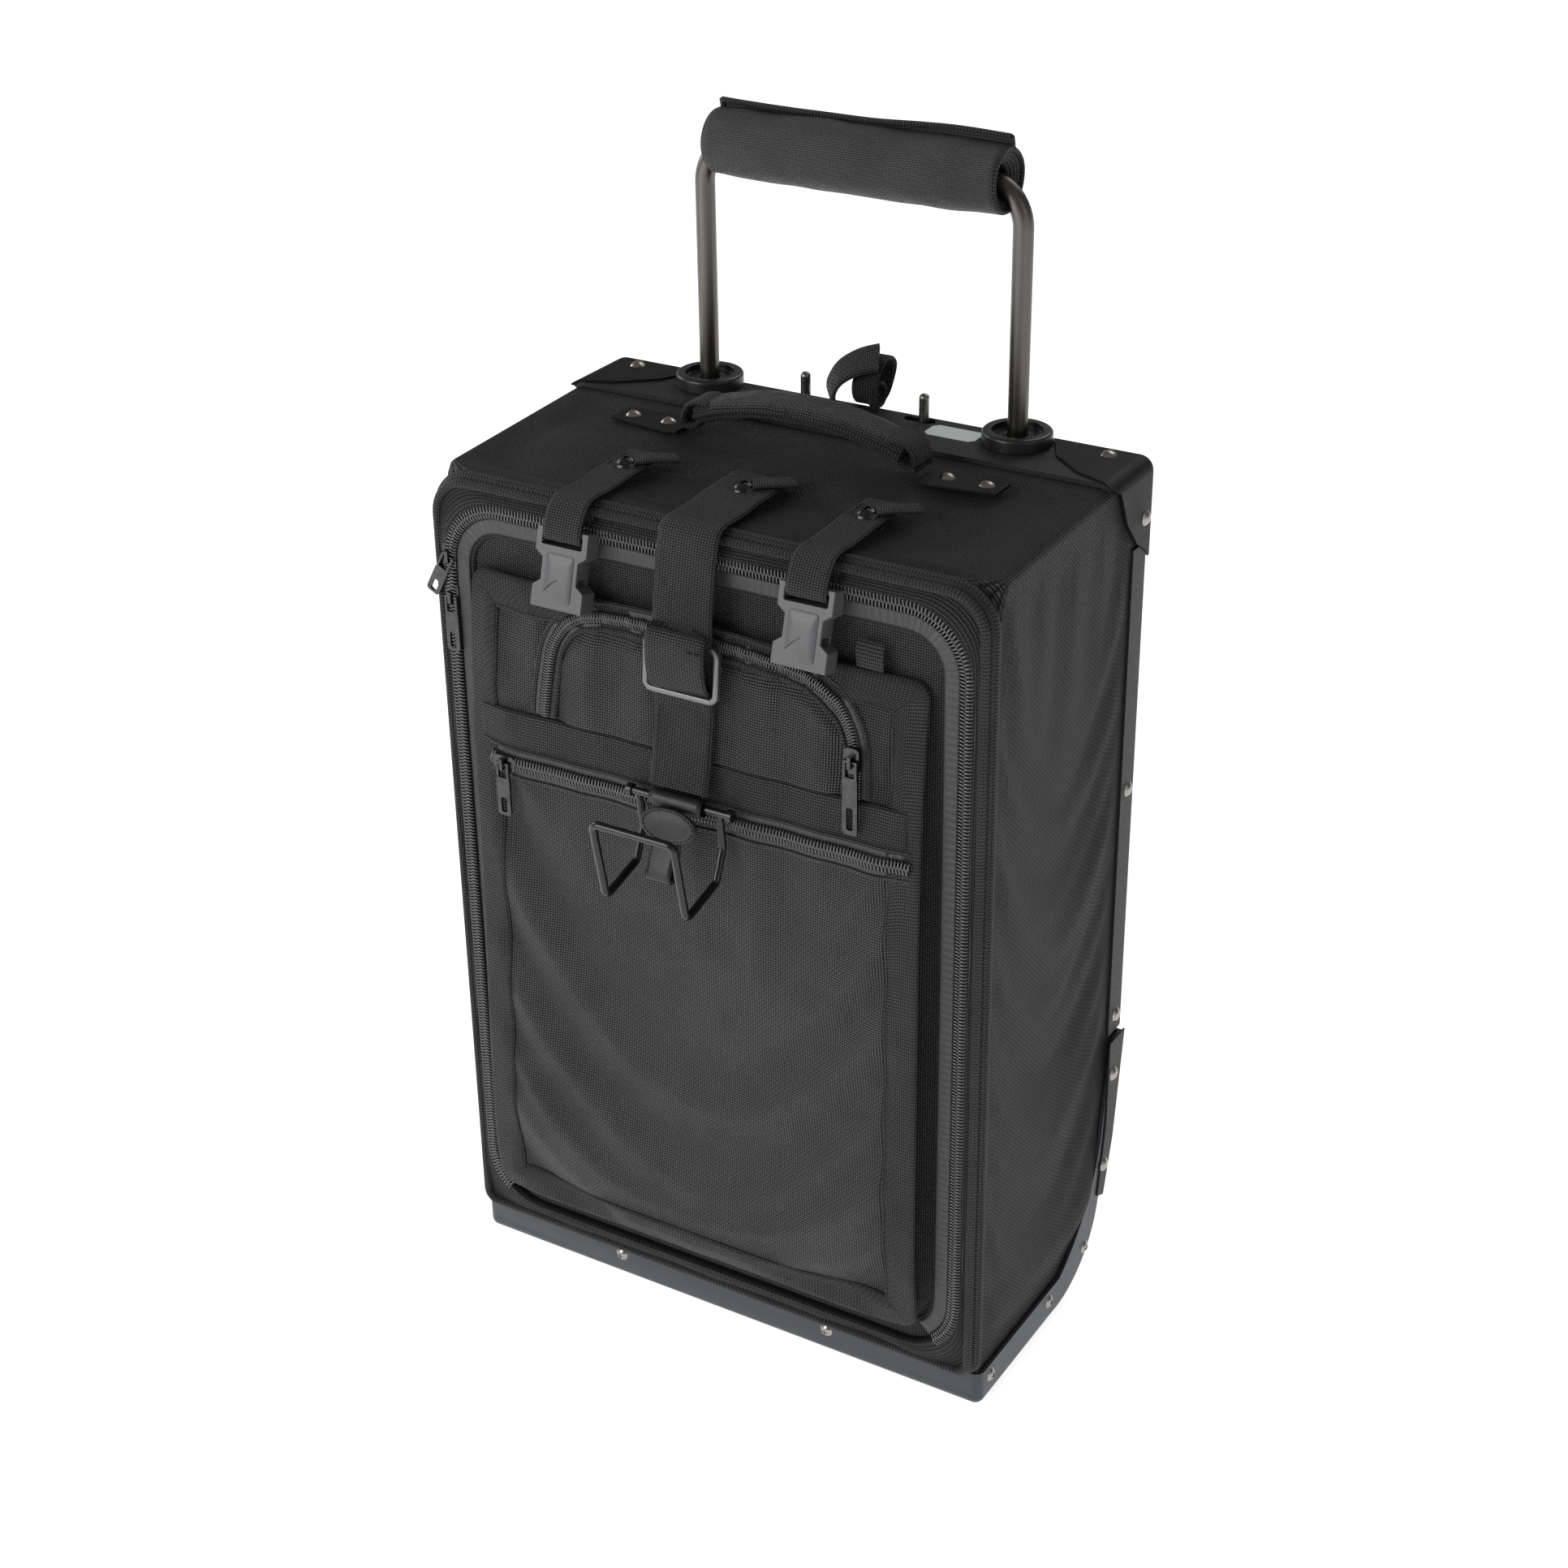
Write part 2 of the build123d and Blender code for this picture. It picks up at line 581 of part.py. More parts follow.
tabPlane = Plane((0, behind(-41.4), 365.6), x_dir=(1, 0, 0), z_dir=(0, -1, 0.35))
with BuildPart() as leatherTabs:
    with BuildSketch(tabPlane):
        Ellipse(18, 9.5)
    extrude(amount=2.2)
    with BuildSketch(Plane.YZ.offset(-7)):
        outline((-33.5, 370.2), (-36.7, 370.2), (-43.5, 352), (-43.5, 335), (-38, 335), (-37, 352))
    extrude(amount=14)
    fillet(leatherTabs.edges().filter_by(Axis.X).sort_by(Axis.Z)[:2], radius=2.4)
save(leatherTabs, "leather_tabs")

with BuildPart() as hookWire:
    with BuildLine() as hookPath:
        leg = ((hookDepth, hookZ), (-29.6, 354), (-37.5, 335), (-68, 327), (-78, hookZ + 1))
        leftLeg = [(-26, behind(depth), height) for depth, height in leg]
        rightLeg = [(26, behind(depth), height) for depth, height in reversed(leg)]
        FilletPolyline(*leftLeg, *rightLeg, radius=4.4)
    with BuildSketch(Plane(hookPath.line @ 0, z_dir=hookPath.line % 0)):
        Circle(wireRadius)
    sweep(path=hookPath.line)
    with Locations(Location((1, behind(hookDepth), hookZ), (0, 90, 0))):
        Cylinder(wireRadius, 62)
    for x in (33.4, -31.4):
        with Locations(Location((x, behind(hookDepth), hookZ), (0, 90, 0))):
            Cylinder(wireRadius + 1.2, 3.2)
save(hookWire, "hook_wire")

# ---- Front panel: it folds down about a seam 4 mm under its lower edge, on the gusset's face ----
lidX = mouthX - 1.2
lidLow = mouthLow + 1.2
lidHigh = mouthHigh - 1.2
with BuildPart() as lidPanel:
    with BuildSketch(Plane.XZ.offset(-behind(-2))):
        with Locations((0, (lidLow + lidHigh) / 2)):
            RectangleRounded(2 * lidX, lidHigh - lidLow, mouthRadius - 1.2)
    extrude(amount=4.6)
save(lidPanel, "lid_panel")

pocketLeft = -147.0
pocketRight = 142.0
pocketLow = 72.0
pocketHigh = 474.0
pocketMid = (pocketLeft + pocketRight) / 2
pocketSpan = pocketRight - pocketLeft
with BuildPart() as frontPocket:
    with BuildSketch(Plane.YZ.offset(pocketLeft)):
        outline((-6.8, pocketHigh), (-13, pocketHigh), (-18, 440), (-22.5, 380), (-24, 300), (-24, 110),
                (-20, pocketLow), (-6.8, pocketLow))
    extrude(amount=pocketSpan)
    sideEdges = frontPocket.edges().filter_by(
        lambda e: e.center().Y < behind(-7) and abs(e.center().X - pocketMid) > pocketSpan / 2 - 1)
    fillet(sideEdges.filter_by(lambda e: e.length > 25), radius=5)
    with BuildSketch(Plane.YZ.offset(pocketLeft + 6)):
        outline((-6.7, pocketHigh - 8), (-10, pocketHigh - 8), (-15.5, 438), (-20, 380), (-21.4, 300),
                (-21.4, 112), (-17, pocketLow + 6), (-6.7, pocketLow + 6))
    extrude(amount=pocketSpan - 12, mode=Mode.SUBTRACT)
save(frontPocket, "front_pocket")

bandLow = 376.0
with BuildPart() as pocketBand:
    with BuildSketch(Plane.YZ.offset(pocketLeft + 8)):
        outline((-22.9, bandLow), (-24.3, bandLow), (-22.6, bandLow + 24), (-21.2, bandLow + 24))
    extrude(amount=pocketSpan - 16)
save(pocketBand, "pocket_band")

zipZ = 367.0


def depthOfPocket(height):
    """Depth of the pocket's face at a height, a little proud of it."""
    if height > 440:
        return -18.3 + (height - 440) / (pocketHigh - 440) * 5
    return -22.8 + (height - 380) / 60 * 4.5


archPlane = Plane((0, behind(depthOfPocket(430)), 430), x_dir=(1, 0, 0),
                  z_dir=(0, -60, 4.5))
with BuildPart() as archPocket:
    with BuildSketch(archPlane):
        Polygon((-88, -29), (95, -29), (95, 0), (80, 29), (-74, 29), (-88, 12), align=None)
    extrude(amount=1.5)
save(archPocket, "arch_pocket")

with BuildPart() as pocketZippers:
    with BuildSketch(Plane.YZ.offset(-132)):
        outline((-23.2, zipZ - 6.5), (-24.9, zipZ - 6.5), (-24.9, zipZ + 6.5), (-23.2, zipZ + 6.5))
    extrude(amount=270)
    with BuildSketch(archPlane):
        Polygon((-96, -29), (104, -29), (104, 4), (86, 36), (-79, 36), (-96, 16), align=None)
        Polygon((-89, -29.1), (96, -29.1), (96, 0.4), (80.6, 29.6), (-74.4, 29.6), (-89, 12.4), align=None,
                mode=Mode.SUBTRACT)
    extrude(amount=1.8)
save(pocketZippers, "pocket_zippers")


# ---- Zipper sliders with their pulls ----
bailWidth = 2.2
bailLength = 7.0


def slider(name, centre, along):
    """A slider's shell on a zipper: centre is on the tape, along is 'X' or 'Z', the way it runs."""
    x, depth, z = centre
    size = (15, 9) if along == "X" else (9, 15)
    with BuildPart() as shell:
        with BuildSketch(Plane.XZ.offset(-behind(depth))):
            with Locations((x, z)):
                RectangleRounded(*size, 2.5)
        extrude(amount=2.6)
        with BuildSketch(Plane.XZ.offset(-behind(depth - 2.6))):
            with Locations((x, z)):
                Rectangle(bailWidth, bailLength)
                Rectangle(bailWidth, bailLength - 2.4, mode=Mode.SUBTRACT)
        extrude(amount=2.2)
        with BuildSketch(Plane.XZ.offset(-behind(depth - 4.8))):
            with Locations((x, z)):
                Rectangle(bailWidth, bailLength)
        extrude(amount=1)
    save(shell, f"slider_{name}")


def pull(name, centre, length, lean):
    """The pull in a slider's bail: a round bar with a long flat ring, leaning sideways by lean degrees."""
    x, depth, z = centre
    hang = Location((x, behind(depth - 3.7), z), (0, lean, 0))
    with BuildPart() as tab:
        with Locations(hang * Location((0, 0, 0), (0, 90, 0))):
            Cylinder(0.8, 8.4)
        with BuildSketch(Plane(hang * Location((0, 0.8, 0), (90, 0, 0)))):
            for side in (-1, 1):
                with Locations((side * 3.5, -4.6)):
                    Rectangle(1.4, 10)
            with Locations((0, -9 - length / 2)):
                RectangleRounded(9, length, 2)
                with Locations((0, -length * 0.22)):
                    RectangleRounded(4, length * 0.4, 1.4, mode=Mode.SUBTRACT)
        extrude(amount=1.6)
    save(tab, f"pull_{name}")


zipperX = mouthX - 0.7
sliders = {
    "main_upper": ((-zipperX, -gussetDepth - 1.8, 480), "Z", 18, 28),
    "main_lower": ((-zipperX, -gussetDepth - 1.8, 455), "Z", 24, 0),
    "pocket": ((-122, -25.2, zipZ), "X", 24, 0),
    "arch": ((104, depthOfPocket(424) - 3.0, 424), "Z", 34, 0),
}
for name, (centre, along, length, lean) in sliders.items():
    slider(name, centre, along)
    pull(name, centre, length, lean)
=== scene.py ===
import bmesh
import bpy
import numpy as np
from mathutils import Matrix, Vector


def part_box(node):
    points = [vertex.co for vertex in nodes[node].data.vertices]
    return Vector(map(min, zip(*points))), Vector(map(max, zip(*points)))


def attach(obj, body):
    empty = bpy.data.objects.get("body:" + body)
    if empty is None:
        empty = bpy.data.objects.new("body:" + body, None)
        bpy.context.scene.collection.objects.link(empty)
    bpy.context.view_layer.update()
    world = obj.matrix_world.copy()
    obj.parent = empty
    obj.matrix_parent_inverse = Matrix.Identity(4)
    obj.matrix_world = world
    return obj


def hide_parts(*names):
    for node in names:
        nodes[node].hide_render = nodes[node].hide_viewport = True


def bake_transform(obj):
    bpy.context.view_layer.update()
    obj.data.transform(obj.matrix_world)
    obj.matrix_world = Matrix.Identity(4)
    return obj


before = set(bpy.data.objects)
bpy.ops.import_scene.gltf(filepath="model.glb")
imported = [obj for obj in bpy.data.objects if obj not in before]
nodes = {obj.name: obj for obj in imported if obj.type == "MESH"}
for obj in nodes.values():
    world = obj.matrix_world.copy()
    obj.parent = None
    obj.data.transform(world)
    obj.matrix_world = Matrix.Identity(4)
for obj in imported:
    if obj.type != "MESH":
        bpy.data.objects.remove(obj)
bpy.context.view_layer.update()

# Sizes are in millimetres as (x, depth, height): depth is measured back from the tub's front face
mm = 0.001
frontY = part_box("body_tub")[0].y / mm


# Camera, light and floor
cameraValues = {"place": (0.72198, -1.17113, 1.0676), "azimuth": 31.24, "elevation": 27.71, "roll": -0.75,
                "lens": 61.87}
lightValues = {
    "frontSoftbox": {"place": (-1.3, -2.6, 1.5), "aim": (0, 0, 0.35), "size": 2.0, "power": 56},
    "rightSoftbox": {"place": (2.6, -0.7, 1.3), "aim": (0, 0, 0.3), "size": 1.8, "power": 5},
    "leftStrip": {"place": (-2.3, 0.2, 1.2), "aim": (0, 0, 0.4), "size": 1.2, "power": 12},
    "rearTop": {"place": (0.2, 1.9, 2.3), "aim": (0, 0, 0.5), "size": 1.6, "power": 14},
}
floorValues = {"size": 40.0, "colour": (0.93, 0.93, 0.93), "glow": 0.8, "sky": 0.2}


def aimCamera(values):
    turn, tilt, roll = np.radians([values["azimuth"], values["elevation"], values["roll"]])
    back = np.array([np.sin(turn) * np.cos(tilt), -np.cos(turn) * np.cos(tilt), np.sin(tilt)])
    right = np.array([np.cos(turn), np.sin(turn), 0.0])
    up = np.cross(back, right)
    axes = (np.cos(roll) * right + np.sin(roll) * up, np.cos(roll) * up - np.sin(roll) * right, back)
    data = bpy.data.cameras.new("caseCamera")
    data.lens = values["lens"]
    data.sensor_width = 36
    camera = bpy.data.objects.new("caseCamera", data)
    camera.matrix_world = Matrix.Translation(values["place"]) @ Matrix(axes).transposed().to_4x4()
    bpy.context.scene.collection.objects.link(camera)
    bpy.context.scene.camera = camera


def addLights(values):
    for name, light in values.items():
        data = bpy.data.lights.new(name, "AREA")
        data.size = light["size"]
        data.energy = light["power"]
        lamp = bpy.data.objects.new(name, data)
        place = np.array(light["place"])
        back = place - np.array(light["aim"])
        back = back / np.linalg.norm(back)
        right = np.cross((0, 0, 1), back)
        right = right / np.linalg.norm(right)
        turned = Matrix((right, np.cross(back, right), back)).transposed()
        lamp.matrix_world = Matrix.Translation(light["place"]) @ turned.to_4x4()
        bpy.context.scene.collection.objects.link(lamp)


def addFloor(values):
    half = values["size"] / 2
    mesh = bpy.data.meshes.new("floor")
    corners = [(-half, -half, 0), (half, -half, 0), (half, half, 0), (-half, half, 0)]
    mesh.from_pydata(corners, [], [(0, 1, 2, 3)])
    floor = bpy.data.objects.new("floor", mesh)
    bpy.context.scene.collection.objects.link(floor)
    paper = bpy.data.materials.new("palePaper")
    paper.use_nodes = True
    shader = paper.node_tree.nodes["Principled BSDF"]
    shader.inputs["Base Color"].default_value = (*values["colour"], 1)
    shader.inputs["Roughness"].default_value = 0.9
    shader.inputs["Emission Color"].default_value = (1, 1, 1, 1)
    shader.inputs["Emission Strength"].default_value = values["glow"]
    mesh.materials.append(paper)
    world = bpy.data.worlds.new("studio")
    world.use_nodes = True
    world.node_tree.nodes["Background"].inputs["Color"].default_value = (1, 1, 1, 1)
    world.node_tree.nodes["Background"].inputs["Strength"].default_value = values["sky"]
    bpy.context.scene.world = world


bpy.context.scene.view_settings.view_transform = "Standard"
aimCamera(cameraValues)
addLights(lightValues)
addFloor(floorValues)
print("camera, lights and floor are set")


# Materials
# A material's node tree, with short calls for the nodes that the finishes share.
class Recipe:
    def __init__(self, name, colour, roughness, metallic=0.0, specular=0.5):
        self.material = bpy.data.materials.new(name)
        self.material.use_nodes = True
        self.tree = self.material.node_tree
        self.shader = self.tree.nodes["Principled BSDF"]
        self.set("Base Color", (*colour, 1))
        self.set("Roughness", roughness)
        self.set("Metallic", metallic)
        self.set("Specular IOR Level", specular)

    def set(self, socket, value):
        self.shader.inputs[socket].default_value = value

    def node(self, kind, **values):
        made = self.tree.nodes.new(kind)
        for key, value in values.items():
            setattr(made, key, value)
        return made

    def math(self, operation, first, second=None, third=None):
        made = self.node("ShaderNodeMath", operation=operation)
        for index, value in enumerate((first, second, third)):
            if value is None:
                continue
            if isinstance(value, (int, float)):
                made.inputs[index].default_value = value
            else:
                self.tree.links.new(value, made.inputs[index])
        return made.outputs[0]

    def coordinates(self, kind="Object"):
        return self.node("ShaderNodeTexCoord").outputs[kind]

    # Noise in the piece's own coordinates, stretched along its axes.
    def grain(self, scale, detail=2.0, stretch=(1, 1, 1), roughness=0.5):
        mapping = self.node("ShaderNodeMapping")
        mapping.inputs["Scale"].default_value = stretch
        self.tree.links.new(self.coordinates(), mapping.inputs["Vector"])
        texture = self.node("ShaderNodeTexNoise")
        texture.inputs["Scale"].default_value = scale
        texture.inputs["Detail"].default_value = detail
        texture.inputs["Roughness"].default_value = roughness
        self.tree.links.new(mapping.outputs[0], texture.inputs["Vector"])
        return texture.outputs["Fac"]

    def cells(self, scale):
        texture = self.node("ShaderNodeTexVoronoi", feature="SMOOTH_F1")
        texture.inputs["Scale"].default_value = scale
        self.tree.links.new(self.coordinates(), texture.inputs["Vector"])
        return texture.outputs["Distance"]

    # Maps value from start..end onto low..high, held at both ends.
    def ramp(self, value, low, high, start=0.0, end=1.0):
        made = self.node("ShaderNodeMapRange")
        self.tree.links.new(value, made.inputs["Value"])
        made.inputs["From Min"].default_value = start
        made.inputs["From Max"].default_value = end
        made.inputs["To Min"].default_value = low
        made.inputs["To Max"].default_value = high
        return made.outputs["Result"]

    def tint(self, value, dark, light):
        made = self.node("ShaderNodeMix", data_type="RGBA")
        first, second = [socket for socket in made.inputs if socket.type == "RGBA"]
        first.default_value = (*dark, 1)
        second.default_value = (*light, 1)
        self.tree.links.new(value, made.inputs[0])
        colour = [s for s in made.outputs if s.type == "RGBA"][0]
        self.tree.links.new(colour, self.shader.inputs["Base Color"])

    def rough(self, value, low, high):
        self.tree.links.new(self.ramp(value, low, high), self.shader.inputs["Roughness"])

    def bump(self, height, distance, strength=1.0):
        made = self.node("ShaderNodeBump")
        made.inputs["Distance"].default_value = distance
        made.inputs["Strength"].default_value = strength
        self.tree.links.new(height, made.inputs["Height"])
        normal = self.shader.inputs["Normal"]
        before = [link.from_socket for link in self.tree.links if link.to_socket == normal]
        if before:
            self.tree.links.new(before[0], made.inputs["Normal"])
        self.tree.links.new(made.outputs[0], normal)

    # Height of a plain weave: in each cell of a chequer one of the two yarns is on top,
    # half a sine high across its width and a little lower towards its ends.
    def weave(self, across, along):
        split = self.node("ShaderNodeSeparateXYZ")
        self.tree.links.new(self.coordinates("UV"), split.inputs[0])
        u = self.math("MULTIPLY", split.outputs[0], np.pi / (across * mm))
        v = self.math("MULTIPLY", split.outputs[1], np.pi / (along * mm))
        sineU, sineV = self.math("SINE", u), self.math("SINE", v)
        warp, weft = self.math("ABSOLUTE", sineU), self.math("ABSOLUTE", sineV)
        onTop = self.math("GREATER_THAN", self.math("MULTIPLY", sineU, sineV), 0.0)
        first = self.math("MULTIPLY", warp, self.math("ADD", self.math("MULTIPLY", weft, 0.5), 0.5))
        second = self.math("MULTIPLY", weft, self.math("ADD", self.math("MULTIPLY", warp, 0.5), 0.5))
        first = self.math("MULTIPLY", first, onTop)
        below = self.math("SUBTRACT", 0.86, self.math("MULTIPLY", onTop, 0.86))
        second = self.math("MULTIPLY", second, below)
        return self.math("ADD", first, second)

    # Height of slanted ribs that change direction at each column.
    def herringbone(self, pitch, column):
        split = self.node("ShaderNodeSeparateXYZ")
        self.tree.links.new(self.coordinates("UV"), split.inputs[0])
        fold = self.math("PINGPONG", split.outputs[1], column * mm)
        phase = self.math("ADD", split.outputs[0], fold)
        return self.math("ABSOLUTE", self.math("SINE", self.math("MULTIPLY", phase, np.pi / (pitch * mm))))


def clothRecipe(name, values):
    recipe = Recipe(name, values["light"], values["roughness"], specular=values["specular"])
    height = recipe.weave(*values["pitch"])
    patches = recipe.grain(38, 3)
    # Painted shade and highlight: the colour follows the weave's height, dark in the gaps between yarns and
    # light on the yarn tops, times a random tone of large patches.
    shade = recipe.math("MULTIPLY", recipe.ramp(height, 0.0, 1.0, 0.34, 0.95),
                        recipe.ramp(patches, 0.72, 1.0, 0.35, 0.65))
    recipe.tint(shade, values["dark"], values["light"])
    recipe.bump(height, values["depth"] * mm, 1.0)
    recipe.bump(recipe.grain(420, 2), 0.12 * mm, 0.5)
    recipe.set("Sheen Weight", values["sheen"])
    recipe.set("Sheen Roughness", 0.45)
    return recipe.material


# In each cloth, dark is the painted shade between the yarns and light is the yarn tops' colour with a painted
# highlight.
clothValues = {
    "ballisticNylon": {"dark": (0.003, 0.003, 0.003), "light": (0.11, 0.109, 0.109), "pitch": (1.5, 1.5),
                       "depth": 1.3, "roughness": 0.42, "specular": 0.4, "sheen": 0.03},
    "sideNylon": {"dark": (0.003, 0.003, 0.003), "light": (0.07, 0.069, 0.068), "pitch": (1.5, 1.5),
                  "depth": 1.3, "roughness": 0.55, "specular": 0.22, "sheen": 0.03},
    "strapWebbing": {"dark": (0.003, 0.003, 0.003), "light": (0.09, 0.089, 0.088), "pitch": (1.7, 1.35),
                     "depth": 1.2, "roughness": 0.55, "specular": 0.28, "sheen": 0.04},
    "bindingTape": {"dark": (0.003, 0.003, 0.003), "light": (0.072, 0.071, 0.07), "pitch": (1.2, 2.0),
                    "depth": 0.9, "roughness": 0.55, "specular": 0.28, "sheen": 0.04},
    "gripMesh": {"dark": (0.006, 0.006, 0.006), "light": (0.085, 0.084, 0.082), "pitch": (1.15, 1.15),
                 "depth": 0.42, "roughness": 0.5, "specular": 0.45, "sheen": 0.04},
    "lining": {"dark": (0.012, 0.012, 0.013), "light": (0.05, 0.05, 0.052), "pitch": (0.7, 0.7), "depth": 0.1,
               "roughness": 0.62, "specular": 0.3, "sheen": 0.05},
}
materials = {name: clothRecipe(name, values) for name, values in clothValues.items()}


def addRecipe(name, colour, roughness, metallic=0.0, specular=0.5):
    recipe = Recipe(name, colour, roughness, metallic, specular)
    materials[name] = recipe.material
    return recipe


def makeMaterials():
    tape = addRecipe("zipperTape", (0.028, 0.028, 0.03), 0.42)
    ribs = tape.herringbone(0.9, 2.2)
    # Painted shade and highlight: the colour follows the rib height, darker in the grooves and lighter on the
    # crests.
    tape.tint(ribs, (0.018, 0.018, 0.019), (0.05, 0.05, 0.053))
    tape.bump(ribs, 0.14 * mm, 0.8)

    coil = addRecipe("zipperCoil", (0.03, 0.03, 0.03), 0.2, specular=0.9)
    coil.rough(coil.grain(900, 1), 0.12, 0.32)

    base = addRecipe("basePlastic", (0.03, 0.034, 0.04), 0.42)
    base.tint(base.grain(9, 4), (0.024, 0.027, 0.032), (0.034, 0.039, 0.046))
    base.rough(base.grain(60, 4), 0.36, 0.5)
    base.bump(base.grain(1500, 2), 0.05 * mm, 0.6)

    coat = addRecipe("wrinkleCoat", (0.03, 0.031, 0.031), 0.5, specular=0.25)
    wrinkle = coat.grain(850, 3, roughness=0.6)
    # Painted shade: the colour follows the wrinkle height, near black in the hollows and lighter on the
    # crests.
    coat.tint(wrinkle, (0.003, 0.003, 0.003), (0.034, 0.036, 0.035))
    coat.rough(coat.grain(500, 2), 0.38, 0.62)
    coat.bump(wrinkle, 0.35 * mm, 0.9)

    guard = addRecipe("guardCoat", (0.014, 0.014, 0.014), 0.42, specular=0.15)
    guard.tint(guard.grain(14, 5), (0.006, 0.006, 0.006), (0.013, 0.013, 0.013))
    guard.rough(guard.grain(70, 5), 0.42, 0.58)
    guard.bump(guard.grain(700, 2), 0.03 * mm, 0.5)

    tube = addRecipe("tubeMetal", (0.12, 0.115, 0.107), 0.3, metallic=1.0)
    drawn = tube.grain(260, 3, stretch=(1, 1, 0.03))
    tube.tint(drawn, (0.085, 0.082, 0.076), (0.16, 0.152, 0.14))
    tube.rough(drawn, 0.26, 0.4)

    nickel = addRecipe("blackNickel", (0.34, 0.33, 0.31), 0.2, metallic=1.0)
    nickel.tint(nickel.grain(320, 3), (0.22, 0.21, 0.19), (0.45, 0.43, 0.4))
    nickel.rough(nickel.grain(500, 4), 0.14, 0.34)

    gunmetal = addRecipe("gunmetal", (0.07, 0.07, 0.07), 0.22, metallic=1.0)
    gunmetal.tint(gunmetal.grain(260, 3), (0.04, 0.04, 0.04), (0.1, 0.1, 0.1))
    gunmetal.rough(gunmetal.grain(500, 4), 0.14, 0.3)

    pinMetal = addRecipe("pinNickel", (0.24, 0.235, 0.225), 0.28, metallic=1.0)
    pinMetal.rough(pinMetal.grain(400, 4), 0.2, 0.4)

    grommet = addRecipe("grommetPlastic", (0.012, 0.012, 0.012), 0.34)
    grommet.rough(grommet.grain(90, 4), 0.26, 0.42)
    grommet.bump(grommet.grain(1300, 2), 0.03 * mm, 0.5)

    buckle = addRecipe("bucklePlastic", (0.085, 0.086, 0.09), 0.36)
    buckle.tint(buckle.grain(25, 4), (0.062, 0.063, 0.066), (0.094, 0.096, 0.1))
    buckle.rough(buckle.grain(120, 4), 0.3, 0.45)
    buckle.bump(buckle.grain(1800, 2), 0.04 * mm, 0.5)

    glide = addRecipe("glideMetal", (0.16, 0.16, 0.163), 0.3, metallic=0.8)
    glide.rough(glide.grain(160, 4), 0.28, 0.42)

    gloss = addRecipe("glossBlack", (0.006, 0.006, 0.006), 0.16, specular=0.4)
    gloss.rough(gloss.grain(90, 3), 0.14, 0.26)
    gloss.set("Coat Weight", 0.15)
    gloss.set("Coat Roughness", 0.08)

    leather = addRecipe("blackLeather", (0.014, 0.014, 0.014), 0.34, specular=0.45)
    pores = leather.cells(900)
    leather.tint(leather.grain(140, 4), (0.004, 0.004, 0.004), (0.014, 0.014, 0.014))
    leather.rough(leather.grain(300, 3), 0.34, 0.5)
    leather.bump(pores, 0.18 * mm, 0.6)

    thread = addRecipe("blackThread", (0.02, 0.02, 0.02), 0.5)
    thread.rough(thread.grain(1200, 2), 0.42, 0.6)

    foam = addRecipe("handleFoam", (0.03, 0.03, 0.03), 0.9, specular=0.2)
    holes = foam.cells(1400)
    # Painted shade in the pores: the colour is darkest where the pits of the bump are deepest.
    foam.tint(holes, (0.012, 0.012, 0.012), (0.045, 0.045, 0.045))
    foam.bump(holes, 0.4 * mm, 0.8)

    label = addRecipe("plainLabel", (0.55, 0.58, 0.58), 0.4)
    label.tint(label.grain(60, 4), (0.68, 0.71, 0.71), (0.8, 0.83, 0.83))

    tyre = addRecipe("tyreUrethane", (0.018, 0.018, 0.018), 0.6)
    tyre.rough(tyre.grain(150, 4), 0.5, 0.72)
    tyre.bump(tyre.grain(900, 3), 0.12 * mm, 0.6)

    hub = addRecipe("hubPlastic", (0.05, 0.05, 0.052), 0.45)
    hub.rough(hub.grain(90, 4), 0.38, 0.52)


makeMaterials()
print("materials are made:", len(materials))


# Mesh helpers
# Millimetres as (x, depth, height) to metres in the frame.
def place(points):
    flat = np.asarray(points, float).reshape(-1, 3)
    return (flat + (0, frontY, 0)) * mm


def finishPiece(name, mesh, material, body, sharp=None):
    mesh.polygons.foreach_set("use_smooth", np.full(len(mesh.polygons), True))
    if sharp is not None:
        mesh.set_sharp_from_angle(angle=np.radians(sharp))
    mesh.materials.append(materials[material])
    piece = bpy.data.objects.new(name, mesh)
    bpy.context.scene.collection.objects.link(piece)
    if body is not None:
        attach(piece, body)
    return piece


# Quads over grids of points. points is copies x rows x columns x 3, uv the same x 2, in millimetres.
# Rows and columns that meet are welded afterwards, and the faces of closed shapes are turned outwards.
def gridMesh(name, points, uv):
    points = np.asarray(points, float)
    uv = np.broadcast_to(uv, points.shape[:-1] + (2,))
    if points.ndim == 3:
        points, uv = points[None], uv[None]
    copies, rows, columns = points.shape[:3]
    index = np.arange(copies * rows * columns).reshape(copies, rows, columns)
    quads = np.stack([index[:, :-1, :-1], index[:, 1:, :-1], index[:, 1:, 1:], index[:, :-1, 1:]], -1)
    quads = quads.reshape(-1, 4)
    mesh = bpy.data.meshes.new(name)
    mesh.from_pydata(place(points).tolist(), [], quads.tolist())
    layer = mesh.uv_layers.new(name="cloth")
    layer.data.foreach_set("uv", (uv.reshape(-1, 2)[quads.ravel()] * mm).astype(np.float32).ravel())
    shape = bmesh.new()
    shape.from_mesh(mesh)
    bmesh.ops.remove_doubles(shape, verts=shape.verts, dist=2e-6)
    bmesh.ops.dissolve_degenerate(shape, dist=1e-7, edges=shape.edges)
    if not any(edge.is_boundary for edge in shape.edges):
        bmesh.ops.recalc_face_normals(shape, faces=shape.faces)
    shape.to_mesh(mesh)
    shape.free()
    return mesh


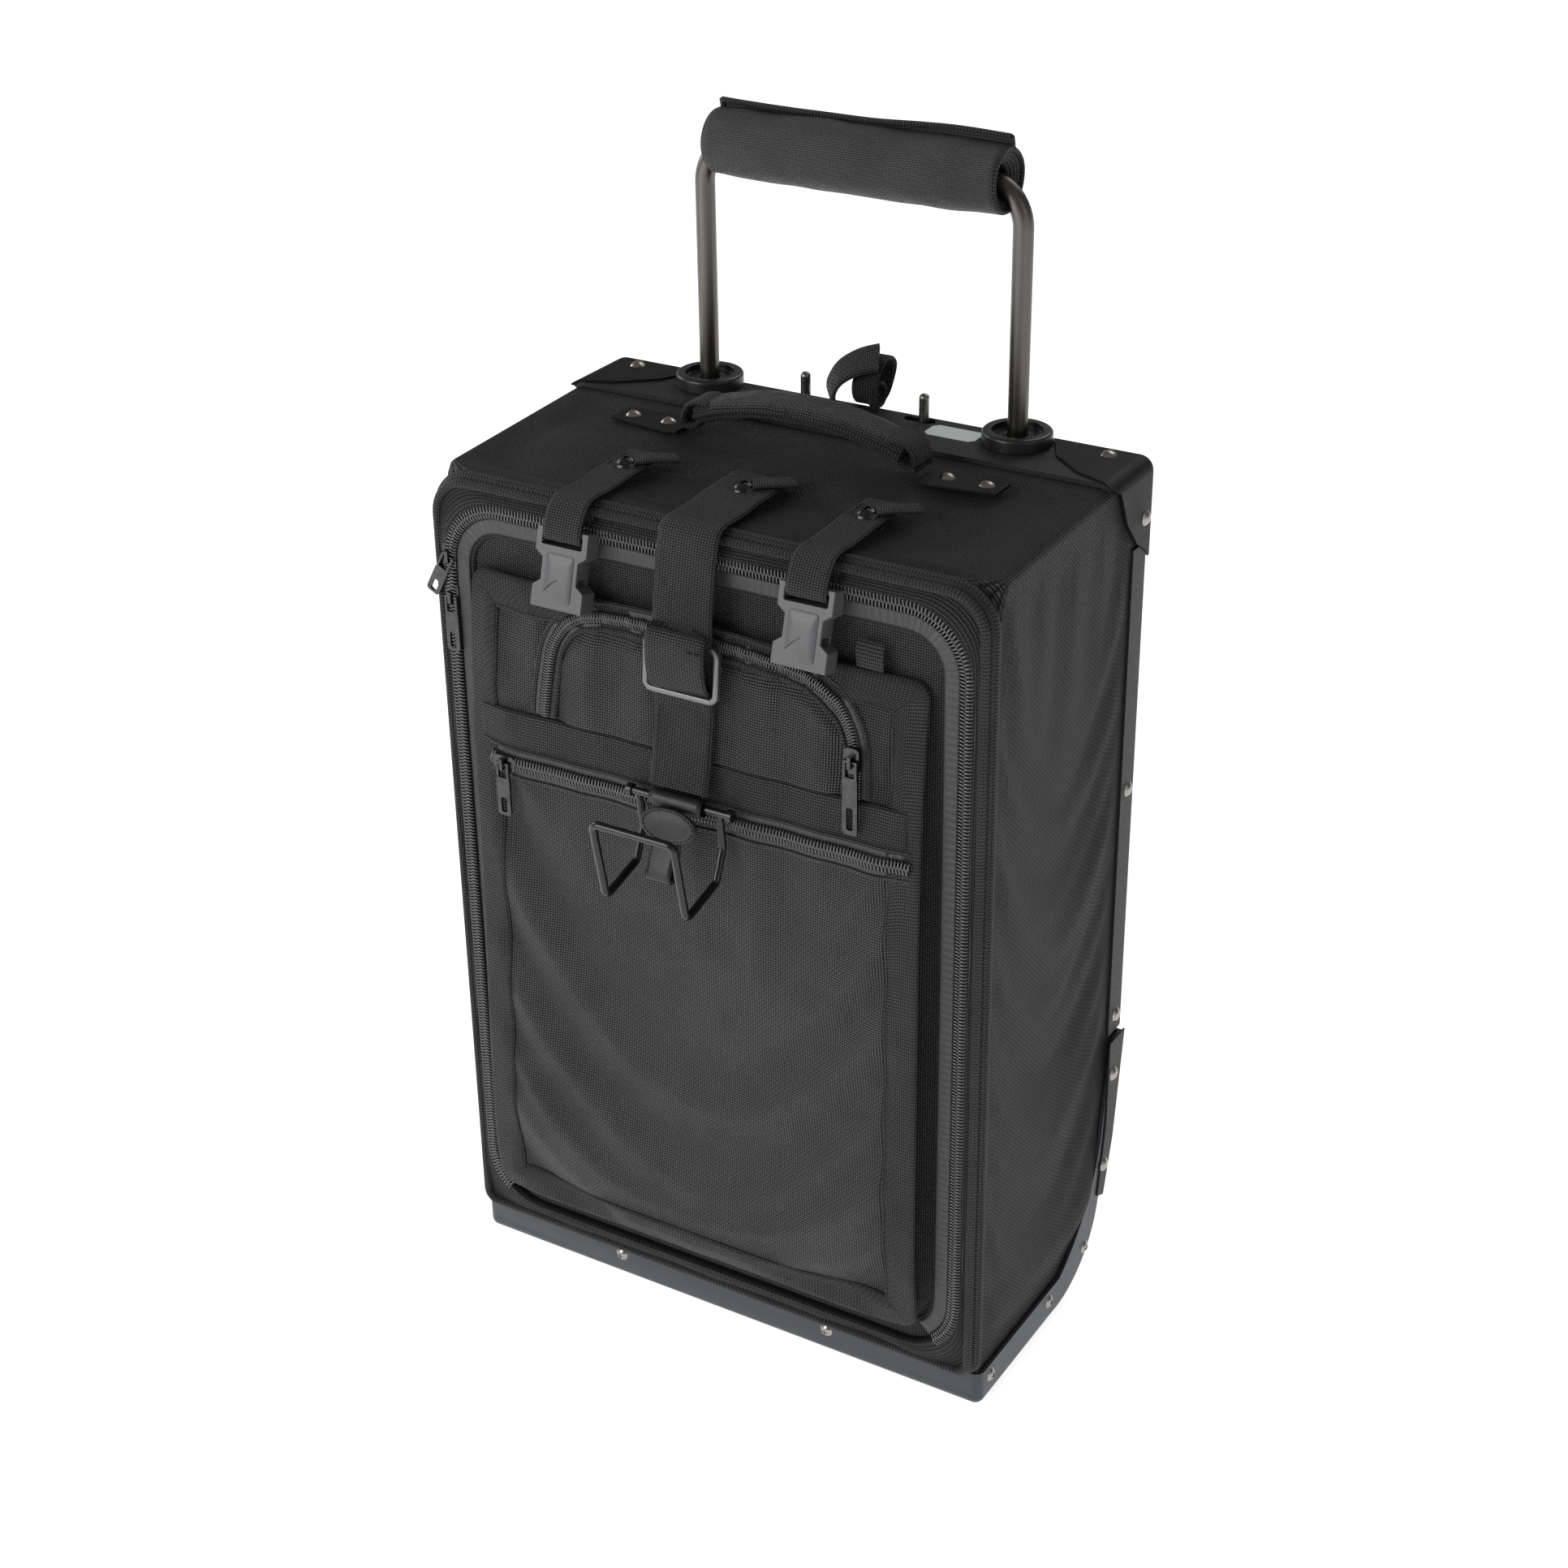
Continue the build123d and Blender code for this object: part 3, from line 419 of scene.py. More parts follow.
def gridPiece(name, points, uv, material, body, sharp=None, thickness=0.0, flip=False):
    mesh = gridMesh(name, points, uv)
    if flip:
        mesh.flip_normals()
    piece = finishPiece(name, mesh, material, body, sharp=sharp)
    if thickness:
        wall = piece.modifiers.new("wall", "SOLIDIFY")
        wall.thickness = thickness * mm
        wall.offset = -1
    return piece


def lengthAlong(points):
    step = np.linalg.norm(np.diff(points, axis=0), axis=-1)
    return np.concatenate([np.zeros((1,) + step.shape[1:]), np.cumsum(step, axis=0)])


# The same line with evenly spaced points.
def resample(points, count):
    points = np.asarray(points, float)
    along = lengthAlong(points)
    wanted = np.linspace(0, along[-1], count)
    return np.stack([np.interp(wanted, along, points[:, axis]) for axis in range(points.shape[1])], -1)


# A curve through points: each span is a cubic whose end slopes run from neighbour to neighbour.
def smoothLine(points, count, closed=False):
    points = np.asarray(points, float)
    if closed:
        points = np.concatenate([points[-1:], points, points[:2]])
    else:
        points = np.concatenate([2 * points[:1] - points[1:2], points, 2 * points[-1:] - points[-2:-1]])
    a, b, c, d = (points[i:len(points) - 3 + i, None] for i in range(4))
    t = np.linspace(0, 1, 24, endpoint=False)[None, :, None]
    spans = 0.5 * (2 * b + (c - a) * t + (2 * a - 5 * b + 4 * c - d) * t ** 2
                   + (3 * b - a - 3 * c + d) * t ** 3)
    line = np.concatenate([spans.reshape(-1, points.shape[1]), points[-2:-1]])
    return resample(line, count)


# Directions ahead, to the side and away from the surface at each point of a path.
def framesAlong(path, up):
    ahead = np.gradient(path, axis=0)
    if np.allclose(path[0], path[-1]):
        ahead[0] = ahead[-1] = path[1] - path[-2]
    ahead /= np.linalg.norm(ahead, axis=1, keepdims=True) + 1e-12
    up = np.broadcast_to(np.asarray(up, float), path.shape)
    side = np.cross(ahead, up)
    side /= np.linalg.norm(side, axis=1, keepdims=True) + 1e-12
    return ahead, side, np.cross(side, ahead)


# A closed profile of (side, away) points carried along a path, its ends closed to a point in the middle.
def carried(path, profile, up, widths=None):
    profile = np.asarray(profile, float)
    profile = np.concatenate([profile, profile[:1]])
    _, side, away = framesAlong(path, up)
    scale = np.ones(len(path)) if widths is None else np.asarray(widths, float)
    across = profile[None, :, :1] * scale[:, None, None]
    points = path[:, None] + across * side[:, None] + profile[None, :, 1:] * away[:, None]
    along = lengthAlong(path)
    around = lengthAlong(profile)
    uv = np.stack(np.broadcast_arrays(around[None, :], along[:, None]), -1)
    if not np.allclose(path[0], path[-1]):
        first = np.broadcast_to(points[:1, :-1].mean(1, keepdims=True), points[:1].shape)
        last = np.broadcast_to(points[-1:, :-1].mean(1, keepdims=True), points[:1].shape)
        points = np.concatenate([first, points, last])
        uv = np.concatenate([uv[:1], uv, uv[-1:]])
    return points, uv


def roundProfile(radius, count=12, high=None):
    turn = np.linspace(0, 2 * np.pi, count, endpoint=False)
    return np.stack([radius * np.cos(turn), (radius if high is None else high) * np.sin(turn)], -1)


# A flat strip with rounded edges: many points across both faces.
def stripProfile(width, thickness, count=9):
    across = np.linspace(-1, 1, count)
    lift = thickness / 2 * np.sqrt(np.clip(1 - np.abs(across) ** 12, 0, 1))
    top = np.stack([across * width / 2, lift], -1)
    return np.concatenate([top, top[-2:0:-1] * (1, -1)])


# Copies of a template grid of (ahead, side, away) points, one every pitch along a path.
def repeated(path, up, pitch, template, mirror=1, start=0.5):
    along = lengthAlong(path)
    at = np.arange(start * pitch, along[-1], pitch)
    ahead, side, away = framesAlong(path, up)
    pick = [np.stack([np.interp(at, along, table[:, axis]) for axis in range(3)], -1)
            for table in (path, ahead, side, away)]
    centre, ahead, side, away = (part[:, None, None] for part in pick)
    t = np.asarray(template, float)
    return centre + t[..., :1] * ahead + mirror * t[..., 1:2] * side + t[..., 2:3] * away


# One loop of a coil zipper: a rod that comes up beside the middle line, crosses out and goes down.
def toothTemplate(reach=4.2, radius=0.7, rise=1.9):
    spine = smoothLine([(0, -0.7, 0.1), (0, -0.5, rise), (0.25, 1.4, rise + 0.25),
                        (0.5, reach - 1, rise - 0.1), (0.5, reach, 0.1)], 7)
    return carried(spine, roundProfile(radius, 5), (1, 0, 0))[0]


def stitchTemplate(length, radius=0.28):
    spine = np.stack([np.linspace(-length / 2, length / 2, 4), np.zeros(4), [0, radius, radius, 0]], -1)
    return carried(spine, roundProfile(radius, 4), (0, 0, 1))[0]


def stitchPiece(name, paths, body, up, length=2.3, pitch=3.1, radius=0.28):
    copies = np.concatenate([repeated(path, up, pitch, stitchTemplate(length, radius)) for path in paths])
    return gridPiece(name, copies, np.zeros(2), "blackThread", body)


# A rounded rectangle in x and height, from the middle of its lower edge round to the right, as (x, height).
# Inset moves the whole line inwards. Values may be arrays, one for each row.
def outlineLoop(halfWidth, low, high, radius, inset=0.0, lowRadius=None, centre=0.0, cornerSteps=10):
    lowRadius = radius if lowRadius is None else lowRadius
    w, zl, zh, r, rl = (np.atleast_1d(np.asarray(v, float)) for v in
                        (halfWidth - inset, low + inset, high - inset, np.maximum(radius - inset, 0.4),
                         np.maximum(lowRadius - inset, 0.4)))
    w, zl, zh, r, rl = (v[:, None] for v in np.broadcast_arrays(w, zl, zh, r, rl))
    quarter = np.linspace(0, np.pi / 2, cornerSteps)[None]
    straight = np.linspace(0, 1, 42)[None, 1:-1]
    tall = np.linspace(0, 1, 74)[None, 1:-1]
    x = np.concatenate([(w - rl) * straight, w - rl + rl * np.sin(quarter), w + 0 * tall,
                        w - r + r * np.cos(quarter), (w - r) * (1 - 2 * straight),
                        -(w - r) - r * np.sin(quarter), -w + 0 * tall, -(w - rl) - rl * np.cos(quarter),
                        -(w - rl) * (1 - straight)], 1)
    z = np.concatenate([zl + 0 * straight, zl + rl - rl * np.cos(quarter),
                        zl + rl + (zh - r - zl - rl) * tall, zh - r + r * np.sin(quarter), zh + 0 * straight,
                        zh - r + r * np.cos(quarter), zh - r - (zh - r - zl - rl) * tall,
                        zl + rl - rl * np.sin(quarter), zl + 0 * straight], 1)
    x, z = np.concatenate([x, x[:, :1]], 1), np.concatenate([z, z[:, :1]], 1)
    return np.stack([x + centre, z], -1)


# 0 below start, 1 above end, and a smooth step between.
def soft(value, start, end):
    t = np.clip((np.asarray(value, float) - start) / (end - start), 0, 1)
    return t * t * (3 - 2 * t)


def hill(value, start, end, edge):
    return soft(value, start, start + edge) * (1 - soft(value, end - edge, end))


# Smooth uneven waves, about size long: a sum of sines in random directions, from -1 to 1.
def ripples(u, v, size, seed, count=9, stretch=1.0):
    draw = np.random.default_rng(seed)
    turn = draw.uniform(0, 2 * np.pi, count)
    scale = 2 * np.pi / (size * draw.uniform(0.7, 1.9, count))
    phase = draw.uniform(0, 2 * np.pi, count)
    total = sum(np.sin(scale[i] * (np.cos(turn[i]) * u + stretch * np.sin(turn[i]) * v) + phase[i])
                for i in range(count))
    return total / (0.55 * count)


# Bilinear look-up in a table that spans uRange and vRange.
def sampled(table, u, v, uRange, vRange):
    rows, columns = table.shape
    i = np.clip((np.asarray(u, float) - uRange[0]) / (uRange[1] - uRange[0]), 0, 1) * (rows - 1)
    j = np.clip((np.asarray(v, float) - vRange[0]) / (vRange[1] - vRange[0]), 0, 1) * (columns - 1)
    a, b = np.minimum(i.astype(int), rows - 2), np.minimum(j.astype(int), columns - 2)
    s, t = i - a, j - b
    return ((1 - s) * (1 - t) * table[a, b] + s * (1 - t) * table[a + 1, b]
            + (1 - s) * t * table[a, b + 1] + s * t * table[a + 1, b + 1])


# How far a slack cloth panel stands off its plane: a sheet cut a little too large is held at its edges,
# hangs under gravity and buckles. Returns a table over width and height, at most limit high.
def crumple(name, width, height, values):
    columns, rows = int(width / values["cell"]) + 1, int(height / values["cell"]) + 1
    u, v = np.meshgrid(np.linspace(0, width, columns), np.linspace(0, height, rows), indexing="ij")
    seeds = values["seed"] * ripples(u, v, values["wave"], values["draw"], stretch=values["stretch"])
    seeds = seeds * hill(u, 0, width, 12) * hill(v, 0, height, 12)
    mesh = gridMesh(name, np.stack([u, seeds, v], -1), np.zeros(2))
    sheet = bpy.data.objects.new(name, mesh)
    bpy.context.scene.collection.objects.link(sheet)
    rest = np.zeros(len(mesh.vertices) * 3)
    mesh.vertices.foreach_get("co", rest)
    rest = rest.reshape(-1, 3) / mm - (0, frontY, 0)
    onEdge = ((rest[:, 0] < 0.5) | (rest[:, 0] > width - 0.5)
              | (rest[:, 2] < 0.5) | (rest[:, 2] > height - 0.5))
    sheet.vertex_groups.new(name="held").add(np.flatnonzero(onEdge).tolist(), 1.0, "REPLACE")
    modifier = sheet.modifiers.new("hang", "CLOTH")
    cloth = modifier.settings
    cloth.quality = 6
    cloth.mass = 0.25
    cloth.tension_stiffness = cloth.compression_stiffness = values["stiffness"]
    cloth.shear_stiffness = values["stiffness"] / 3
    cloth.bending_stiffness = values["bending"]
    cloth.vertex_group_mass = "held"
    cloth.shrink_min = -values["excess"]
    cloth.effector_weights.gravity = values["gravity"]
    modifier.point_cache.frame_start = 1
    modifier.point_cache.frame_end = values["frames"]
    for step in range(1, values["frames"] + 1):
        bpy.context.scene.frame_set(step)
    settled = sheet.evaluated_get(bpy.context.evaluated_depsgraph_get()).to_mesh()
    co = np.zeros(len(settled.vertices) * 3)
    settled.vertices.foreach_get("co", co)
    moved = co.reshape(-1, 3)[:, 1] / mm - frontY
    bpy.context.scene.frame_set(1)
    bpy.data.objects.remove(sheet)
    order = np.lexsort((rest[:, 2].round(1), rest[:, 0].round(1)))
    table = moved[order].reshape(columns, rows)
    print(name, "settled:", table.min().round(1), "to", table.max().round(1), "mm")
    return np.clip(table, -values["limit"], values["limit"])


# A CAD node keeps its shape and gets its finish.
def dress(node, material):
    nodes[node].data.materials.clear()
    nodes[node].data.materials.append(materials[material])


bend = {"start": 9.0, "steps": 7}     # where the bend begins, back from the sharp corner
bentNodes = {"corner_guard_left": (178.0, 187.4, 538.4), "corner_guard_right": (178.0, 187.4, 538.4),
             "top_rail": (176.6, 186.0, 537.0), "side_rail_left": (176.6, 186.0, 537.0),
             "side_rail_right": (176.6, 186.0, 537.0)}


# Sheet metal is bent, not folded sharp: a node's outer corner is cut into strips, and past the bend's start
# the largest of a point's three distances becomes its straight distance from there.
def bendCorners(shape, reach):
    corner = np.asarray(reach)
    for axis, signs in enumerate(((-1, 1), (1,), (1,))):
        for step in range(bend["steps"]):
            for sign in signs:
                spot, normal = np.zeros(3), np.zeros(3)
                spot[axis] = sign * (corner[axis] - bend["start"] * (1 - step / bend["steps"]))
                normal[axis] = 1
                geometry = list(shape.verts) + list(shape.edges) + list(shape.faces)
                at = place([spot])[0] if axis == 1 else spot * mm
                bmesh.ops.bisect_plane(shape, geom=geometry, plane_co=at, plane_no=normal)
    points = np.array([vertex.co for vertex in shape.verts]) / mm - (0, frontY, 0)
    sign = np.where(points[:, :1] < 0, -1, 1) * (1, 0, 0) + np.array((0, 1, 1))
    centre = corner - bend["start"]
    beyond = np.maximum(points * sign - centre, 0)
    length = np.linalg.norm(beyond, axis=1, keepdims=True)
    scale = np.where(length > 1e-6, beyond.max(1, keepdims=True) / np.maximum(length, 1e-6), 1)
    moved = np.where(beyond > 0, sign * (centre + beyond * scale), points)
    for vertex, spot in zip(shape.verts, place(moved)):
        vertex.co = spot


# A copy of a CAD node, merged and with its edges rounded, that stands for it.
def refined(name, node, body, material, width, sharpest=32):
    mesh = nodes[node].data.copy()
    shape = bmesh.new()
    shape.from_mesh(mesh)
    bmesh.ops.remove_doubles(shape, verts=shape.verts, dist=2e-6)
    bmesh.ops.dissolve_limit(shape, angle_limit=np.radians(0.6), verts=shape.verts, edges=shape.edges)
    if node in bentNodes:
        bendCorners(shape, bentNodes[node])
    shape.to_mesh(mesh)
    shape.free()
    mesh.materials.clear()
    piece = finishPiece(name, mesh, material, body, sharp=sharpest)
    edge = piece.modifiers.new("edge", "BEVEL")
    edge.width = width * mm
    edge.segments = 2
    edge.limit_method = "ANGLE"
    edge.angle_limit = np.radians(sharpest)
    edge.harden_normals = True
    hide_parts(node)


# The fabric tub
slack = {
    "pocket": {"cell": 5.0, "excess": 0.012, "seed": 1.2, "wave": 90, "draw": 11, "stretch": 0.8,
               "stiffness": 14, "bending": 2.5, "gravity": 0.5, "frames": 22, "limit": 4.2},
    "side": {"cell": 5.0, "excess": 0.010, "seed": 1.2, "wave": 110, "draw": 5, "stretch": 0.5,
             "stiffness": 14, "bending": 3.0, "gravity": 0.5, "frames": 22, "limit": 4.0},
    "top": {"cell": 5.0, "excess": 0.008, "seed": 0.8, "wave": 90, "draw": 21, "stretch": 1.5,
            "stiffness": 14, "bending": 3.0, "gravity": 0.0, "frames": 18, "limit": 2.6},
}
tub = {"halfWidth": 175.0, "back": 181.0, "wall": 2.4, "frontCorner": 24.0, "backCorner": 5.0, "lowCorner": 8,
       "cornerFade": 11, "sideSag": 2.2, "sideFold": 0.9, "topFold": 0.8, "topLevel": 2.4,
       "sidePanel": (166, 496), "topPanel": (350, 132)}
floorLine = ((-20, 7.6), (92, 7.6), (115, 12.6), (130, 18.5), (141, 26.5), (149, 37), (157, 54), (166.7, 111),
             (176.5, 168), (181, 190))
topLine = ((-20, 527.5), (0, 527.5), (8, 529), (132.6, 534), (182, 534))
mouth = {"halfWidth": 164.0, "low": 42.0, "high": 513.0, "radius": 36.0}
front = {"halfWidth": 174.6, "low": 30.0, "high": 527.0, "radius": 24.0}


def along(line, depth):
    return np.interp(depth, *np.transpose(line))


def frontOutline(inset=0.0):
    return outlineLoop(front["halfWidth"], front["low"], front["high"], front["radius"], inset, 10)


def mouthOutline(inset=0.0):
    return outlineLoop(mouth["halfWidth"], mouth["low"], mouth["high"], mouth["radius"], inset)


# Rounded rectangles one behind the other, moved in and out by the slack cloth of each side,
# then smaller ones that close the back.
def makeTub():
    sideFolds = crumple("sideFolds", *tub["sidePanel"], slack["side"])
    topFolds = crumple("topFolds", *tub["topPanel"], slack["top"])
    depth = np.concatenate([[-1.0, 0.5, 2.5], np.linspace(5, 176, 72), [178.5, 180.2, tub["back"]]])
    fade = 1 - soft(depth, 0, tub["cornerFade"])
    radius = tub["backCorner"] + (tub["frontCorner"] - tub["backCorner"]) * fade
    low, high = along(floorLine, depth), along(topLine, depth)
    ring = outlineLoop(tub["halfWidth"] + 0 * depth, low, high, radius, 0.0, tub["lowCorner"] + 0 * depth)
    x, z = ring[..., 0], ring[..., 1]
    d = depth[:, None] + 0 * x
    step = np.gradient(ring, axis=1)
    normal = np.stack([step[..., 1], -step[..., 0]], -1)
    normal /= np.linalg.norm(normal, axis=-1, keepdims=True) + 1e-9
    sideways = soft(np.abs(normal[..., 0]), 0.5, 1.0)
    upwards = soft(normal[..., 1], 0.5, 1.0)
    flipped = np.where(x > 0, z, 560 - z)
    fold = sampled(sideFolds, d, flipped, (0, 166), (32, 528))
    hold = hill(d, 0, 163, 18) * hill(z, 34, 524, 26)
    sag = -tub["sideSag"] * hill(d, 10, 168, 60) * hill(z, 40, 520, 120)
    over = sampled(topFolds, x, d, (-175, 175), (0, 132))
    topHold = hill(d, 2, 131, 14) * hill(x, -170, 170, 20)
    topMove = (over - tub["topLevel"]) * topHold * tub["topFold"]
    shift = sideways * (fold * hold * tub["sideFold"] + sag) + upwards * np.minimum(topMove, 0.0)
    ring = ring + normal * shift[..., None]
    points = np.stack([ring[..., 0], d, ring[..., 1]], -1)
    back = outlineLoop(tub["halfWidth"], low[-1], high[-1], tub["backCorner"], 0, tub["lowCorner"])[0]
    middle = back[:-1].mean(0)
    shrink = np.array([0.985, 0.9, 0.6, 0.3, 0.0])[:, None, None]
    closing = middle + (back - middle)[None] * shrink
    closing = np.stack([closing[..., 0], np.full(closing.shape[:2], tub["back"]), closing[..., 1]], -1)
    points = np.concatenate([points, closing])
    around = lengthAlong(ring[30])
    inwards = np.concatenate([depth, tub["back"] + np.linspace(5, 175, 5)])
    uv = np.stack([np.broadcast_to(around, points.shape[:2]), inwards[:, None] + 0 * points[..., 0]], -1)
    piece = gridPiece("tubCloth", points, uv, "sideNylon", "case", sharp=70,
                      thickness=tub["wall"])
    piece.data.materials.append(materials["lining"])
    piece.modifiers["wall"].material_offset = 1
    cutWheelWells(piece)
    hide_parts("body_tub")


wheelWell = {"halfWidth": 17.4, "depth": (117, 215), "height": (-2.0, 83.0)}


# The wheels stand in two slots through the tub's floor.
def cutWheelWells(piece):
    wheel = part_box("tyre_right")
    middle = (wheel[0].x + wheel[1].x) / 2 / mm
    for side in (-1, 1):
        low, high = (np.array((side * middle + end * wheelWell["halfWidth"], depth, height))
                     for end, depth, height in zip((-1, 1), wheelWell["depth"], wheelWell["height"]))
        corners = np.array([[x, y, z] for x in (0, 1) for y in (0, 1) for z in (0, 1)])
        mesh = bpy.data.meshes.new("well")
        mesh.from_pydata(place(low + corners * (high - low)).tolist(), [],
                         [(0, 1, 3, 2), (4, 6, 7, 5), (0, 4, 5, 1), (2, 3, 7, 6), (0, 2, 6, 4), (1, 5, 7, 3)])
        block = bpy.data.objects.new("well", mesh)
        bpy.context.scene.collection.objects.link(block)
        cut = piece.modifiers.new("well", "BOOLEAN")
        cut.operation = "DIFFERENCE"
        cut.object = block
        applyModifiers(piece)
        bpy.data.objects.remove(block)


def applyModifiers(piece):
    bpy.context.view_layer.update()
    done = bpy.data.meshes.new_from_object(piece.evaluated_get(bpy.context.evaluated_depsgraph_get()))
    piece.modifiers.clear()
    piece.data = done


gusset = {"mouthDepth": -9.8, "fallBack": 3.2, "lip": (-2.5, -5.5), "edge": (-4.0, 1.0), "wave": 0.7,
          "steps": 16, "wall": 1.6}


# The strip between the mouth and the front edge: a blend of the two outlines, furthest forward
# beside the mouth.
def makeGusset():
    along = np.linspace(0.0, 1.0, gusset["steps"])
    share = np.concatenate([[0.0, 0.0], along, [1.0]])[:, None]
    middle = gusset["mouthDepth"] + gusset["fallBack"] * soft(along, 0.2, 0.75)
    depth = np.concatenate([gusset["lip"], middle[:-1], gusset["edge"]])[:, None]
    inner, outer = mouthOutline(), frontOutline()
    flat = (1 - share[..., None]) * inner + share[..., None] * outer
    wave = gusset["wave"] * ripples(flat[..., 0], flat[..., 1], 55, 31) * np.sin(np.pi * share)
    points = np.stack([flat[..., 0], depth + wave, flat[..., 1]], -1)
    ring = lengthAlong(inner[0])
    uv = np.stack([ring[None] + 0 * points[..., 0], share * 16 + 0 * points[..., 0]], -1)
    piece = gridPiece("frontGussetCloth", points, uv, "sideNylon", "case",
                      thickness=gusset["wall"], flip=True)
    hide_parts("front_gusset")


# The part of an outline above low, from the right foot over the top to the left foot.
def openPath(outline, depth, low):
    keep = outline[outline[:, 1] > low]
    return resample(np.stack([keep[:, 0], np.full(len(keep), depth), keep[:, 1]], -1), 900)


piping = {"radius": 2.7, "rows": ((2.6, -8.2), (-0.2, -2.4)), "foot": 31.0}
mainZip = {"line": -9.8, "foot": 50.0, "pitch": 2.1, "bodyTape": (3.4, 5.4), "lidTape": (-3.4, -13.5)}


def makePiping():
    for number, (inset, depth) in enumerate(piping["rows"]):
        path = openPath(frontOutline(inset)[0], depth, piping["foot"])
        points, uv = carried(path, roundProfile(piping["radius"], 12), (0, -1, 0))
        gridPiece(f"frontPiping{number + 1}", points, uv, "bindingTape", "case")
    seam = openPath(frontOutline(1.4)[0], -5.4, piping["foot"])
    stitchPiece("pipingStitches", [seam], "case", (0, -1, 0), length=2.4, pitch=3.4)


# A flat tape from start to end beside a path, as a closed strip.
def ribbon(path, start, end, lift, thickness, up=(0, -1, 0)):
    profile = stripProfile(abs(end - start), thickness, 7) + ((start + end) / 2, lift)
    return carried(path, profile, up)


def makeMainZipper():
    path = openPath(mouthOutline(0.7)[0], mainZip["line"], mainZip["foot"])
    for name, body, mirror, tape, node in (("body", "case", 1, mainZip["bodyTape"], "body_zipper_half"),
                                           ("lid", "lid", -1, mainZip["lidTape"], "lid_zipper_half")):
        points, uv = ribbon(path, *tape, 0.2, 0.9)
        piece = gridPiece(f"{name}ZipperTape", points, uv, "zipperTape", body)
        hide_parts(node)
        start = 0.5 + 0.5 * (mirror < 0)
        teeth = repeated(path, (0, -1, 0), mainZip["pitch"], toothTemplate(), mirror, start)
        gridPiece(f"{name}ZipperCoil", teeth, np.zeros(2), "zipperCoil", body)
    cord = openPath(mouthOutline(14.6)[0], -8.0, 58)
    points, uv = carried(cord, roundProfile(1.5, 10), (0, -1, 0))
    gridPiece("lidEdgeCord", points, uv, "bindingTape", "lid")


# The front panel and its pocket
lid = {"halfWidth": 162.6, "low": 43.4, "high": 511.6, "radius": 34.6, "front": -6.6, "back": -2.1}
pocket = {"middle": -2.5, "halfWidth": 144.5, "low": 60.0, "high": 474.0, "radius": 9.0, "binding": 19.0,
          "tilt": 0.021}
pocketLine = ((50, -17.5), (60, -19.0), (90, -23), (130, -24.2), (300, -24.2), (380, -22.8), (440, -18.2),
              (480, -12.5))
band = {"low": 376.0, "high": 400.0, "left": -140.0, "right": 135.0}
pocketZip = {"height": 367.0, "left": -134.0, "right": 138.0, "pitch": 2.0, "tape": 8.0}
archZip = {"tape": 6.6, "size": 0.82, "inside": 7.4, "low": 400.5}
archLine = ((-95, 401), (-92.5, 425), (-88, 446), (-74, 461), (-50, 466.5), (0, 468), (50, 466), (78, 461),
            (95, 448), (103, 430), (104.5, 401))


# A closed pad: rows of (inset or share of the outline, depth) from the middle of its back to the middle
# of its front. An inset is in mm, and a share from 0 to 1 shrinks the outline towards its middle.
def pad(name, outline, rows, material, body, backMaterial=None, backDepth=None):
    loops = []
    for kind, amount, depth in rows:
        loop = outline(amount if kind == "inset" else 0.0)[0]
        if kind == "share":
            middle = loop[:-1].mean(0)
            loop = middle + (loop - middle) * amount
        loops.append(np.stack([loop[:, 0], np.full(len(loop), float(depth)), loop[:, 1]], -1))
    points = np.stack(loops)
    piece = gridPiece(name, points, points[..., [0, 2]], material, body, sharp=50)
    if backMaterial:
        piece.data.materials.append(materials[backMaterial])
        centres = np.zeros(len(piece.data.polygons) * 3)
        piece.data.polygons.foreach_get("center", centres)
        behindIt = centres.reshape(-1, 3)[:, 1] / mm - frontY > backDepth
        piece.data.polygons.foreach_set("material_index", behindIt.astype(np.int32))
    return piece


def makeLid():
    def outline(inset=0.0):
        return outlineLoop(lid["halfWidth"], lid["low"], lid["high"], lid["radius"], inset)
    rows = [("share", 0.0, lid["back"]), ("share", 0.5, lid["back"]), ("share", 0.9, lid["back"]),
            ("inset", 2.0, lid["back"]), ("inset", 0.5, -2.6), ("inset", 0.0, -4.0), ("inset", 0.5, -6.1),
            ("inset", 1.6, lid["front"]), ("inset", 18.0, lid["front"] - 0.6),
            ("share", 0.8, lid["front"] - 1.2), ("share", 0.4, lid["front"]), ("share", 0.0, lid["front"])]
    piece = pad("lidCloth", outline, rows, "ballisticNylon", "lid", "lining", -2.4)
    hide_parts("lid_panel")


pocketFolds = crumple("pocketFolds", 2 * pocket["halfWidth"], pocket["high"] - pocket["low"], slack["pocket"])


# Depth of the pocket's face: its side profile, a little lower along both sides, and the slack cloth.
def pocketDepth(x, z):
    beside = pocket["halfWidth"] - np.abs(x - pocket["middle"])
    edge = 2.6 * (1 - soft(beside, 0, 34))
    reach = (pocket["middle"] - pocket["halfWidth"], pocket["middle"] + pocket["halfWidth"])
    fold = sampled(pocketFolds, x, z, reach, (pocket["low"], pocket["high"]))
    calm = 1 - 0.6 * hill(z, 350, 412, 14)
    line = (along(pocketLine, z - 6) + along(pocketLine, z) + along(pocketLine, z + 6)) / 3
    return line + edge - fold * calm * soft(beside, 0, 26)


# The pocket's top edge runs a little lower to the right.
def pocketShift(x, z):
    return z - pocket["tilt"] * (x - pocket["middle"]) * soft(z, 405, 474)


